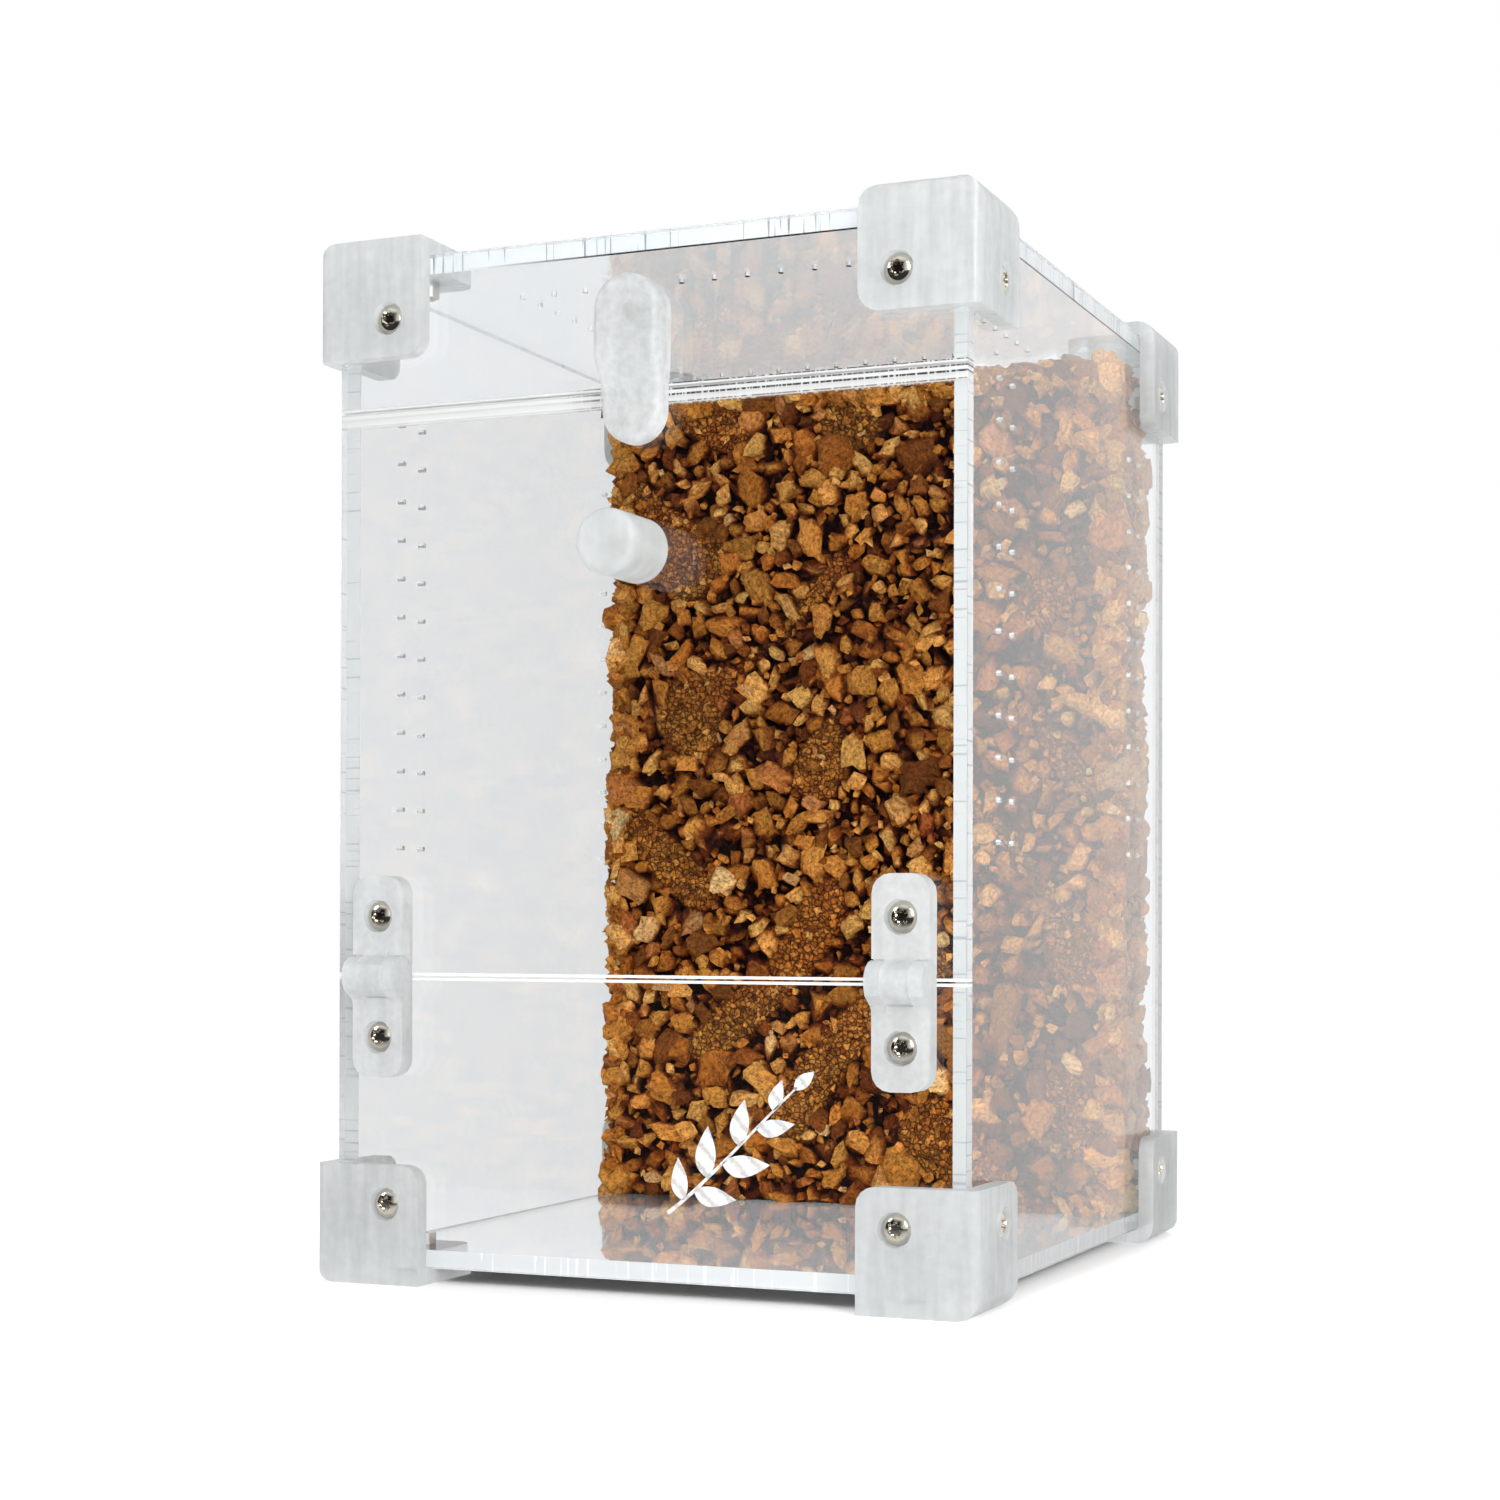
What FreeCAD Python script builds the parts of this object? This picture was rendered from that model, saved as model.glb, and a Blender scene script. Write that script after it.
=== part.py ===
import FreeCAD, Part
import math
import os

from FreeCAD import Vector, Rotation, Placement

# Insect terrarium: a box of clear acrylic sheets held by eight printed corner
# brackets, with a front door on two printed hinges, a knob, a turn catch and a
# slab of cork standing against the back.
#
# Millimetres. The origin lies at the middle of the footprint on the table,
# +Z is up, the front of the box looks along -Y.

# Driving dimensions
BOX_W = 200.0            # acrylic box, outer width
BOX_D = 210.0            # outer depth
BOX_H = 302.0            # outer height
SHEET = 5.0              # acrylic thickness
BRACKET = 5.0            # thickness of a bracket's plates
BRACKET_REACH = 30.5     # reach of a bracket along the acrylic from its corner
BRACKET_ROUND = 5.5      # rounding of a plate's free corner
BRACKET_EDGE = 6.0       # rounding of the level edge that runs front to back
BRACKET_UPRIGHT = 3.0    # rounding of the upright edge
CHORDS = 4               # chords to a quarter turn, which keeps the facets few
SCREW_INSET = 19.0       # bracket screws, from the acrylic's outer corner
SEAM_LOW = 86.7          # height of the door's lower seam above the acrylic's foot
SEAM_HIGH = 256.5        # height of the upper seam
SEAM_GAP = 0.6           # gap in a seam
CORK_FRONT = 164.0       # front face of the cork, behind the box's front
CORK_DEPTH = 36.0
CORK_HEIGHT = 284.0
CORK_RELIEF = 4.5        # how far the chunks of cork stand out of its hollows
CORK_CHUNK = 21.0        # width of a chunk
VENT_R = 0.85            # laser-cut vent hole, corners of its six sides
KNOB_R = 9.5
KNOB_LENGTH = 22.0
KNOB_HEIGHT = 210.0
HINGE_X = 83.0           # hinge centres, either side of the middle
LEAF_W = 17.0
LEAF_REACH = 30.0        # reach of a leaf from the hinge axis
LEAF_ROUND = 5.5
BARREL_R = 6.1
BARREL_GAP = 0.15        # barrel to acrylic
KNUCKLE_END = 4.2        # width of each outer knuckle
HINGE_SCREW = 18.0       # hinge screws, from the axis
PIN_R = 1.5
RUN = 0.05               # radial play of what turns on a pin
CATCH_R = 10.3           # thick head of the turn catch
CATCH_T = 9.8
TONGUE_R = 9.6           # thin tongue that reaches over the door
TONGUE_T = 5.0
CATCH_PIVOT = 278.2      # heights of the three lobe centres
CATCH_MIDDLE = 264.4
CATCH_TIP = 249.9

# M4 screws and nuts
SHANK_R = 2.0
HEAD_R = 4.0
HEAD_H = 2.6
SCREW_HOLE_R = 2.45      # corners of the six-sided hole
SINK_R = 5.0             # counterbore in a printed piece
SINK_DEPTH = 3.4
NUT_FLATS = 7.0
NUT_H = 3.2

# Planes of the box in the part's own frame
LEFT = -BOX_W / 2
RIGHT = BOX_W / 2
FRONT = (KNOB_LENGTH - BOX_D - BRACKET) / 2
BACK = FRONT + BOX_D
FOOT = BRACKET
HEAD = FOOT + BOX_H
LOW = FOOT + SEAM_LOW
HIGH = FOOT + SEAM_HIGH

X = Vector(1, 0, 0)
Y = Vector(0, 1, 0)
Z = Vector(0, 0, 1)


def block(x0, x1, y0, y1, z0, z1):
    return Part.makeBox(x1 - x0, y1 - y0, z1 - z0, Vector(x0, y0, z0))


def rod(radius, length, start, along):
    return Part.makeCylinder(radius, length, start, along)


def ring(radius, sides, height=0.0):
    """A regular polygon in a plane of constant Z, its corners at a radius."""
    turn = 180.0 / sides
    return Part.makePolygon([Vector(0, 0, height) + Rotation(Z, turn + 360.0 * i / sides).multVec(X * radius)
                             for i in range(sides + 1)])


def stacked(wires):
    """A solid through closed polygons of the same count, one above another."""
    rows = [[v.Point for v in wire.OrderedVertexes] for wire in wires]
    facets = [Part.Face(wires[0]), Part.Face(wires[-1])]
    for under, over in zip(rows, rows[1:]):
        for i in range(len(under)):
            quad = [under[i - 1], under[i], over[i], over[i - 1]]
            facets.append(Part.Face(Part.makePolygon(quad + quad[:1])))
    solid = Part.Solid(Part.makeShell(facets))
    if solid.Volume < 0:
        solid.reverse()
    return solid


def bar(radius, sides, length, start, along):
    """A straight bar of regular section: small holes, screws and nuts."""
    solid = Part.Face(ring(radius, sides)).extrude(Z * length)
    return placed(solid, start, along)


def placed(shape, point, along):
    """Turn a shape built along +Z so that it points along a direction."""
    turned = shape.copy()
    turned.Placement = Placement(point, Rotation(Z, along))
    return turned


def write(name, *pieces):
    shape = pieces[0] if len(pieces) == 1 else Part.makeCompound(list(pieces))
    shape.exportStep(os.path.join("parts", name + ".step"))
    print(name, len(shape.Solids), round(shape.Volume, 1), shape.isValid())


def rounded_points(a0, a1, b0, b1, radii, chords=CHORDS):
    """Points round a rectangle in the XY plane whose corners have their own radii.

    The radii go round from the corner (a0, b0) to (a1, b0), (a1, b1), (a0, b1).
    Each rounding is an arc drawn as chords.
    """
    corners = [Vector(a0, b0, 0), Vector(a1, b0, 0), Vector(a1, b1, 0), Vector(a0, b1, 0)]
    points = []
    for i, corner in enumerate(corners):
        r = radii[i]
        if r == 0:
            points.append(corner)
            continue
        before = (corners[i - 1] - corner).normalize()
        after = (corners[(i + 1) % 4] - corner).normalize()
        centre = corner + (before + after) * r
        steps = chords if r > 1 else 1
        for k in range(steps + 1):
            angle = math.pi / 2 * k / steps
            points.append(centre - after * (r * math.cos(angle)) - before * (r * math.sin(angle)))
    return points


def rounded_outline(a0, a1, b0, b1, radii, chords=CHORDS):
    points = rounded_points(a0, a1, b0, b1, radii, chords)
    return Part.Face(Part.makePolygon(points + points[:1]))


# Screws, nuts and the holes for them

def screw(point, outward, length):
    """A pan-head screw whose head stands on a point and faces outward."""
    side = HEAD_H * 0.55
    head = stacked([ring(HEAD_R, 8), ring(HEAD_R, 8, side), ring(HEAD_R - 1.1, 8, HEAD_H)])
    shank = Part.Face(ring(SHANK_R, 6, -length)).extrude(Z * length)
    return placed(head.fuse(shank).removeSplitter(), point, outward)


def nut(point, inward):
    """A hexagon nut that stands on a face and points inward."""
    body = Part.Face(ring(NUT_FLATS / 3 ** 0.5, 6)).extrude(Z * NUT_H)
    body = body.cut(Part.Face(ring(SHANK_R + 0.02, 6)).extrude(Z * NUT_H))
    return placed(body, point, inward)


def screw_hole(point, outward):
    """Cutter for a screw hole through the sheet behind a point."""
    return bar(SCREW_HOLE_R, 6, 4 * SHEET, point - outward * 2 * SHEET, outward)


def sink(point, outward):
    """Cutter for a counterbore whose mouth is at a point on a printed face."""
    return bar(SINK_R, 16, SINK_DEPTH + 5, point - outward * SINK_DEPTH, outward)


# Corner brackets: one print for a corner, and its mirror images for the others

def corner_bracket(seen_along_y, seen_along_x):
    """A bracket for the corner at the origin whose box lies along +X +Y +Z.

    Three plates lie on the outside of the sheets. The outlines seen along X,
    Y and Z are carried through the cube and what they share is the body. The
    radii of an outline go from the box's corner along the level edge, over
    the plate's free corner, to the end of the upright edge.
    """
    low = -BRACKET
    far = BRACKET_REACH
    size = far - low
    plan = [BRACKET_UPRIGHT, 0, BRACKET_ROUND, 0]
    body = rounded_outline(low, far, low, far, plan).extrude(Z * size)
    body.translate(Z * low)
    # outline X to the right and Z up, carried along Y
    front = rounded_outline(low, far, low, far, seen_along_y).extrude(Z * size)
    front.Placement = Placement(Vector(0, far, 0), Rotation(X, 90))
    # outline Y to the right and Z up, carried along X
    flank = rounded_outline(low, far, low, far, seen_along_x).extrude(Z * size)
    flank.Placement = Placement(Vector(low, 0, 0), Rotation(Vector(1, 1, 1), 120))
    body = body.common(front).common(flank)
    body = body.cut(Part.makeBox(size, size, size))
    cutters = []
    for outward in (X * -1, Y * -1, Z * -1):
        face = outward * BRACKET
        centre = Vector(SCREW_INSET, SCREW_INSET, SCREW_INSET)
        centre = centre - outward * centre.dot(outward) + face
        cutters.append(sink(centre, outward))
        cutters.append(screw_hole(centre, outward))
    return body.cut(cutters)


def write_brackets():
    plain = corner_bracket([BRACKET_EDGE, 0, BRACKET_ROUND, 0],
                           [0, 0, BRACKET_ROUND, 0])
    # the one at the top front right has its rounded ends on the level edges
    other = corner_bracket([BRACKET_EDGE, BRACKET_ROUND + 1, BRACKET_ROUND + 1, 0],
                           [BRACKET_UPRIGHT, BRACKET_ROUND + 2.5, 0, 0])
    for high, level in (("low", FOOT), ("top", HEAD)):
        for deep, y in (("front", FRONT), ("back", BACK)):
            for side, x in (("left", LEFT), ("right", RIGHT)):
                name = "_".join(("bracket", high, deep, side))
                body = other if name == "bracket_top_front_right" else plain
                for word, axis in (("top", Z), ("back", Y), ("right", X)):
                    if word in name:
                        body = body.mirror(Vector(0, 0, 0), axis)
                body = body.copy()
                body.translate(Vector(x, y, level))
                write(name, body)


def bracket_screw_points(face):
    """The four bracket screws of one side of the box: points on the acrylic."""
    xs = (LEFT + SCREW_INSET, RIGHT - SCREW_INSET)
    ys = (FRONT + SCREW_INSET, BACK - SCREW_INSET)
    zs = (FOOT + SCREW_INSET, HEAD - SCREW_INSET)
    if face == "left":
        return [Vector(LEFT, y, z) for y in ys for z in zs], X * -1
    if face == "right":
        return [Vector(RIGHT, y, z) for y in ys for z in zs], X
    if face == "front":
        return [Vector(x, FRONT, z) for x in xs for z in zs], Y * -1
    if face == "back":
        return [Vector(x, BACK, z) for x in xs for z in zs], Y
    if face == "floor":
        return [Vector(x, y, FOOT) for x in xs for y in ys], Z * -1
    return [Vector(x, y, HEAD) for x in xs for y in ys], Z


def write_bracket_screws():
    under_head = BRACKET - SINK_DEPTH
    length = under_head + SHEET + NUT_H + 0.2
    for face in ("left", "right", "front", "back", "floor", "top"):
        points, outward = bracket_screw_points(face)
        screws = [screw(p + outward * under_head, outward, length) for p in points]
        nuts = [nut(p - outward * SHEET, outward * -1) for p in points]
        write("bracket_screws_" + face, *screws)
        write("bracket_nuts_" + face, *nuts)


# Acrylic sheets

def vent_columns(x):
    """Four columns of twelve holes through an upright side sheet."""
    holes = []
    for y in (30.0, 42.0, 168.0, 180.0):
        for k in range(12):
            start = Vector(x - 1, FRONT + y, FOOT + 258.0 - 12.0 * k)
            holes.append(bar(VENT_R, 6, SHEET + 2, start, X))
    return holes


def vent_ring():
    """A rectangular ring of holes through the top sheet, twelve to a side."""
    holes = []
    for i in range(12):
        for j in range(12):
            if i in (0, 11) or j in (0, 11):
                x = LEFT + 40.0 + 120.0 * i / 11
                y = FRONT + 42.0 + 126.0 * j / 11
                holes.append(bar(VENT_R, 6, SHEET + 2, Vector(x, y, HEAD - SHEET - 1), Z))
    return holes


def bracket_holes(face):
    points, outward = bracket_screw_points(face)
    return [screw_hole(p, outward) for p in points]


def hinge_holes(side):
    height = LOW + side * HINGE_SCREW
    return [screw_hole(Vector(x, FRONT, height), Y * -1) for x in (-HINGE_X, HINGE_X)]


def write_sheets():
    inner_l = LEFT + SHEET
    inner_r = RIGHT - SHEET
    inner_f = FRONT + SHEET
    inner_b = BACK - SHEET
    left = block(LEFT, inner_l, inner_f, inner_b, FOOT, HEAD)
    write("left_panel", left.cut(vent_columns(LEFT) + bracket_holes("left")))
    right = block(inner_r, RIGHT, inner_f, inner_b, FOOT, HEAD)
    write("right_panel", right.cut(vent_columns(inner_r) + bracket_holes("right")))
    back = block(LEFT, RIGHT, inner_b, BACK, FOOT, HEAD)
    write("back_panel", back.cut(bracket_holes("back")))
    floor = block(inner_l, inner_r, inner_f, inner_b, FOOT, FOOT + SHEET)
    write("floor_panel", floor.cut(bracket_holes("floor")))
    top = block(inner_l, inner_r, inner_f, inner_b, HEAD - SHEET, HEAD)
    write("top_panel", top.cut(vent_ring() + bracket_holes("top")))
    half = SEAM_GAP / 2
    lower = block(LEFT, RIGHT, FRONT, inner_f, FOOT, LOW - half)
    write("front_lower_panel", lower.cut(bracket_holes("front") + hinge_holes(-1)))
    strip = block(LEFT, RIGHT, FRONT, inner_f, HIGH + half, HEAD)
    pivot = Vector(0, FRONT - SHEET, FOOT + CATCH_PIVOT)
    strip = strip.cut(bracket_holes("front") + [bar(SCREW_HOLE_R, 6, 3 * SHEET, pivot, Y)])
    write("front_strip", strip)
    door = block(LEFT, RIGHT, FRONT, inner_f, LOW + half, HIGH - half)
    knob_hole = screw_hole(Vector(0, FRONT, FOOT + KNOB_HEIGHT), Y * -1)
    write("door_panel", door.cut(hinge_holes(1) + [knob_hole]))


# Hinges: three knuckles printed on two leaves, turning on a steel pin

AXIS_Y = FRONT - BARREL_R - BARREL_GAP


def leaf_section(x0, x1):
    """A knuckle and its leaf, from x0 to x1, with the leaf reaching up.

    The section lies in the YZ plane with the hinge axis at its origin. The
    front of the leaf runs into the barrel through a hollow of radius 3.
    """
    hollow = 3.0
    front = 0.2
    back = BARREL_R
    height = ((BARREL_R + hollow) ** 2 - (hollow - front) ** 2) ** 0.5
    centre = Vector(0, front - hollow, height)
    lean = math.degrees(math.atan2(centre.z, centre.y))
    points = [Rotation(X, -180.0 * i / 8).multVec(Y * back) for i in range(8)]
    points += [Rotation(X, a).multVec(Y * back) for a in (180.0, 180.0 - (180.0 - lean) / 2, lean)]
    rest = [Rotation(X, lean - 180.0 + (180.0 - lean) * t).multVec(Y * hollow) + centre for t in (1 / 3, 2 / 3, 1)]
    points += rest
    points += [Vector(0, front, LEAF_REACH), Vector(0, back, LEAF_REACH)]
    section = Part.Face(Part.makePolygon(points + points[:1])).extrude(X * (x1 - x0))
    section.translate(X * x0)
    return section


def hinge_leaf(door):
    """One leaf reaching up from the axis at the origin, X along the pin.

    The door's leaf carries the middle knuckle and the fixed leaf the two
    outer ones. Each leaf is cut hollow where the other one's knuckles turn.
    """
    half = LEAF_W / 2
    inner = half - KNUCKLE_END
    outline = rounded_outline(-half, half, -LEAF_REACH, LEAF_REACH, [LEAF_ROUND] * 4)
    plate = outline.extrude(Z * 3 * BARREL_R)
    plate.Placement = Placement(Vector(0, 2 * BARREL_R, 0), Rotation(X, 90))
    whole = leaf_section(-half, half).common(plate)
    gap = 0.2
    room = (BARREL_R + 0.35) / math.cos(math.pi / 16)
    if door:
        ends = [block(-half - 1, -inner + gap, -9, 9, -9, 0.2), block(inner - gap, half + 1, -9, 9, -9, 0.2)]
        ends.append(bar(room, 16, KNUCKLE_END + 1 + gap, Vector(-half - 1, 0, 0), X))
        ends.append(bar(room, 16, KNUCKLE_END + 1 + gap, Vector(inner - gap, 0, 0), X))
        ends.append(block(-half - 1, -inner + gap, -9, 0.2, 0, 9))
        ends.append(block(inner - gap, half + 1, -9, 0.2, 0, 9))
        body = whole.cut(ends)
        return body.cut(rod(PIN_R + RUN, LEAF_W + 2, Vector(-half - 1, 0, 0), X))
    middle = [bar(room, 16, 2 * inner, Vector(-inner, 0, 0), X)]
    middle.append(block(-inner, inner, -9, 9, -9, 0.2))
    middle.append(block(-inner, inner, -9, 0.2, 0, 9))
    body = whole.cut(middle)
    return body.cut(rod(PIN_R + 0.01, LEAF_W - 1.5, Vector(-half - 1, 0, 0), X))


def leaf_with_screw(leaf):
    mouth = Vector(0, 0.2, HINGE_SCREW)
    back = BARREL_R - 0.2 - SINK_DEPTH
    return leaf.cut([sink(mouth, Y * -1), screw_hole(mouth + Y * back, Y * -1)])


def write_hinges():
    door_leaf = leaf_with_screw(hinge_leaf(True))
    fixed_leaf = leaf_with_screw(hinge_leaf(False))
    under_head = BARREL_GAP + BARREL_R - 0.2 - SINK_DEPTH
    length = under_head + SHEET + NUT_H + 0.2
    groups = {"door": [], "fixed": []}
    for name, x in (("left", -HINGE_X), ("right", HINGE_X)):
        axis = Vector(x, AXIS_Y, LOW)
        moving = door_leaf.copy()
        moving.Placement = Placement(axis, Rotation())
        write("hinge_door_leaf_" + name, moving)
        # the fixed leaf hangs down: the same way up, mirrored in the axis plane
        fixed = fixed_leaf.mirror(Vector(0, 0, 0), Z)
        fixed.translate(axis)
        write("hinge_fixed_leaf_" + name, fixed)
        start = axis - X * (LEAF_W / 2 - 0.3)
        write("hinge_pin_" + name, rod(PIN_R, LEAF_W - 3.0, start, X))
        groups["door"].append(Vector(x, FRONT, LOW + HINGE_SCREW))
        groups["fixed"].append(Vector(x, FRONT, LOW - HINGE_SCREW))
    for name, points in groups.items():
        screws = [screw(p - Y * under_head, Y * -1, length) for p in points]
        nuts = [nut(p + Y * SHEET, Y) for p in points]
        write("hinge_screws_" + name, *screws)
        write("hinge_nuts_" + name, *nuts)


# Knob on the door

def write_knob():
    centre = Vector(0, FRONT, FOOT + KNOB_HEIGHT)
    sides = 24
    edge = 2.5
    rings = [ring(KNOB_R, sides), ring(KNOB_R, sides, KNOB_LENGTH - edge)]
    rings.append(ring(KNOB_R - 0.3 * edge, sides, KNOB_LENGTH - 0.3 * edge))
    rings.append(ring(KNOB_R - edge, sides, KNOB_LENGTH))
    knob = stacked(rings).cut(bar(SHANK_R + 0.02, 6, 13.0, Vector(0, 0, 0), Z))
    write("knob", placed(knob, centre, Y * -1))
    write("knob_screw", screw(centre + Y * SHEET, Y, SHEET + 11.0))


# Turn catch on the fixed strip above the door

def lobe(radius, thickness, low, high, back):
    """An upright stadium with its front edge rounded, its back on a plane."""
    edge = 2.4
    levels = []
    for height, inset in ((0, 0), (thickness - edge, 0), (thickness - 0.3 * edge, 0.3 * edge), (thickness, edge)):
        r = radius - inset
        points = rounded_points(-r, r, low - r, high + r, [r - 0.001] * 4, 6)
        wire = Part.makePolygon(points + points[:1])
        wire.translate(Z * height)
        levels.append(wire)
    solid = stacked(levels)
    solid.Placement = Placement(Vector(0, back, FOOT), Rotation(X, 90))
    return solid


def write_catch():
    back = FRONT - 0.2
    head = lobe(CATCH_R, CATCH_T, CATCH_MIDDLE, CATCH_PIVOT, back)
    tongue = lobe(TONGUE_R, TONGUE_T, CATCH_TIP, CATCH_MIDDLE, back)
    catch = head.fuse(tongue).removeSplitter()
    pivot = Vector(0, back, FOOT + CATCH_PIVOT)
    catch = catch.cut(bar(SHANK_R + 0.02, 6, 7.0, pivot, Y * -1))
    write("turn_catch", catch)
    washer_back = Vector(0, FRONT + SHEET + 0.1, FOOT + CATCH_PIVOT)
    washer = bar(4.5, 16, 0.8, washer_back, Y).cut(bar(SCREW_HOLE_R, 6, 0.8, washer_back, Y))
    write("catch_washer", washer)
    write("catch_screw", screw(washer_back + Y * 0.8, Y, SHEET + 0.9 + 6.0))


# Cork slab standing on the floor, cut round the nuts it meets

def chunk(a, b, c):
    """A repeatable height from 0 to 1 for one point of a lattice."""
    return math.sin(12.9898 * a + 78.233 * b + 37.719 * c) * 43758.5453 % 1.0


def cork_body(low, high):
    """A slab whose faces are broken into chunks, from a lattice on its box.

    Every lattice point on a side, the front or the top is sunk by its own
    share of the relief, and each cell is closed with two flat facets. The
    foot stays flat on the floor.
    """
    count = [max(2, round(v / CORK_CHUNK)) for v in (high - low)]

    def point(i, j, k):
        at = Vector(*[low[n] + (high[n] - low[n]) * v / count[n] for n, v in enumerate((i, j, k))])
        sunk = CORK_RELIEF * chunk(i, j, k)
        for n, (v, unit) in enumerate(((i, X), (j, Y), (k, Z))):
            if v == 0 and unit != Z:
                at += unit * sunk
            if v == count[n]:
                at -= unit * sunk
        return at

    facets = []
    for n in range(3):
        u, w = [m for m in range(3) if m != n]
        for end in (0, count[n]):
            for a in range(count[u]):
                for b in range(count[w]):
                    cell = []
                    for da, db in ((0, 0), (1, 0), (1, 1), (0, 1)):
                        index = [0, 0, 0]
                        index[n], index[u], index[w] = end, a + da, b + db
                        cell.append(point(*index))
                    if n == 2 and end == 0:
                        facets.append(Part.Face(Part.makePolygon(cell + cell[:1])))
                        continue
                    for corners in ((0, 1, 2), (0, 2, 3)):
                        tri = [cell[m] for m in corners]
                        facets.append(Part.Face(Part.makePolygon(tri + tri[:1])))
    return Part.Solid(Part.makeShell(facets))


def write_cork():
    side = 0.4
    low = Vector(LEFT + SHEET + side, FRONT + CORK_FRONT, FOOT + SHEET)
    high = Vector(-low.x, low.y + CORK_DEPTH, low.z + CORK_HEIGHT)
    cork = cork_body(low, high)
    if cork.Volume < 0:
        cork.reverse()
    room = NUT_H + 1.0
    cutters = []
    for face in ("left", "right", "floor"):
        points, outward = bracket_screw_points(face)
        for p in points:
            if low.y < p.y < high.y:
                cutters.append(bar(6.0, 6, room, p - outward * SHEET, outward * -1))
    write("cork_slab", cork.cut(cutters).removeSplitter())


def main():
    os.makedirs("parts", exist_ok=True)
    write_sheets()
    write_brackets()
    write_bracket_screws()
    write_hinges()
    write_knob()
    write_catch()
    write_cork()


main()
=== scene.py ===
# %% [markdown]
# An insect terrarium of clear acrylic
# The box is 5 mm acrylic sheet held by frosted printed brackets, with a hinged
# door in front and a slab of cork granules at the back. The measured solids
# come in first, and this lesson dresses them: clear sheet with laser-cut edges,
# frosted prints, steel screws and thousands of grains of cork.

# %% Bring in the measured model
import math
import bpy
import numpy as np
from mathutils import Matrix, Vector


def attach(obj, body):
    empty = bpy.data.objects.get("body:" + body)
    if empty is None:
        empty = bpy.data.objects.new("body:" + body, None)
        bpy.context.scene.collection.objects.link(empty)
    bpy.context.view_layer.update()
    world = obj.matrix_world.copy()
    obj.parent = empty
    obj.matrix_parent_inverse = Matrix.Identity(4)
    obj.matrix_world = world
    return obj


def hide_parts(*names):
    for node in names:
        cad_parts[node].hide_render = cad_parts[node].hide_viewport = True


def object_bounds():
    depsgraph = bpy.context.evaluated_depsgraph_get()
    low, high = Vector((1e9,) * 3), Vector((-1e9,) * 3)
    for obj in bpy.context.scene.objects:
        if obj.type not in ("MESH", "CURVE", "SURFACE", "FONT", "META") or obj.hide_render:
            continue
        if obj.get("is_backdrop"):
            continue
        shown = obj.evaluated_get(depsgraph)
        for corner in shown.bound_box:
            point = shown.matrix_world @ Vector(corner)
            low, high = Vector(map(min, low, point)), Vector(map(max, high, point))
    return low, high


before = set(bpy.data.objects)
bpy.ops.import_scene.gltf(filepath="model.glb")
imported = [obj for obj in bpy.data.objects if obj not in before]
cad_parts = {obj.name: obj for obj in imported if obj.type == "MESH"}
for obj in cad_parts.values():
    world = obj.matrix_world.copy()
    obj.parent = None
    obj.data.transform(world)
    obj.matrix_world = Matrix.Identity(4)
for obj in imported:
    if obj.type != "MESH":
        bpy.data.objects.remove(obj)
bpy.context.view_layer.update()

MM = 0.001
WHITE = (1, 1, 1, 1)

# %% [markdown]
# A few helpers. Colours are written as hex values, as a paint chart has them,
# and turned to the linear values that light is added up in. One function adds a
# node with its settings, fixed inputs and links, and one sets the stops of a
# colour ramp. Shapes stay pure numpy: one function makes a mesh from arrays of
# points and faces, one welds points that coincide, and one lists the faces of a
# tube, whose rings of points lie one after another.

# %% Colour, node and mesh helpers
def linear(hex_colour):
    """sRGB hex to linear: c / 12.92 near black, else ((c + 0.055) / 1.055) ^ 2.4."""
    parts = [int(hex_colour[i:i + 2], 16) / 255 for i in (1, 3, 5)]
    light = [c / 12.92 if c <= 0.04045 else ((c + 0.055) / 1.055) ** 2.4 for c in parts]
    return tuple(light) + (1.0,)


def add(tree, kind, values=None, links=None, **settings):
    """Add a node: settings by name, fixed inputs by socket, links from outputs,
    or from a node, which stands for its first output."""
    made = tree.nodes.new("ShaderNode" + kind)
    for name, value in settings.items():
        setattr(made, name, value)
    for name, value in (values or {}).items():
        made.inputs[name].default_value = value
    for name, source in (links or {}).items():
        tree.links.new(getattr(source, "outputs", [source])[0], made.inputs[name])
    return made


def set_stops(node, stops):
    """Give a colour ramp its stops: position, hex colour and, where told, alpha."""
    elements = node.color_ramp.elements
    for k, (position, colour, *alpha) in enumerate(stops):
        stop = elements[k] if k < 2 else elements.new(1.0)
        stop.position = position
        stop.color = linear(colour)[:3] + (alpha[0] if alpha else 1.0,)


def new_material(name):
    """An empty node material and its tree."""
    material = bpy.data.materials.new(name)
    material.use_nodes = True
    material.node_tree.nodes.clear()
    return material, material.node_tree


def weld(points, faces):
    """Merge points that coincide, and drop corners and faces left without area."""
    _, first, same = np.unique(points.round(7), axis=0, return_index=True, return_inverse=True)
    kept = [[v for k, v in enumerate(face) if v != face[k - 1]]
        for face in same.reshape(-1)[faces].tolist()]
    return points[first], [face for face in kept if len(face) > 2]


def tube(rings, around):
    """Faces between rings of points, each ring closed on itself."""
    rows = np.arange(rings - 1)[:, None] * around
    i = np.arange(around)
    j = (i + 1) % around
    corners = np.broadcast_arrays(rows + i, rows + j, rows + around + j, rows + around + i)
    return np.stack(corners, -1).reshape(-1, 4)


def surface(name, points, faces, material, body, smooth=True, slot=None):
    """A mesh object from an array of points (metres) and its faces."""
    mesh = bpy.data.meshes.new(name)
    mesh.from_pydata(np.asarray(points).tolist(), [], [list(face) for face in faces])
    mesh.materials.append(material)
    mesh.polygons.foreach_set("use_smooth", np.full(len(mesh.polygons), smooth))
    mesh.update()
    made = bpy.data.objects.new(name, mesh)
    bpy.context.scene.collection.objects.link(made)
    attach(made, body)
    return made


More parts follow.
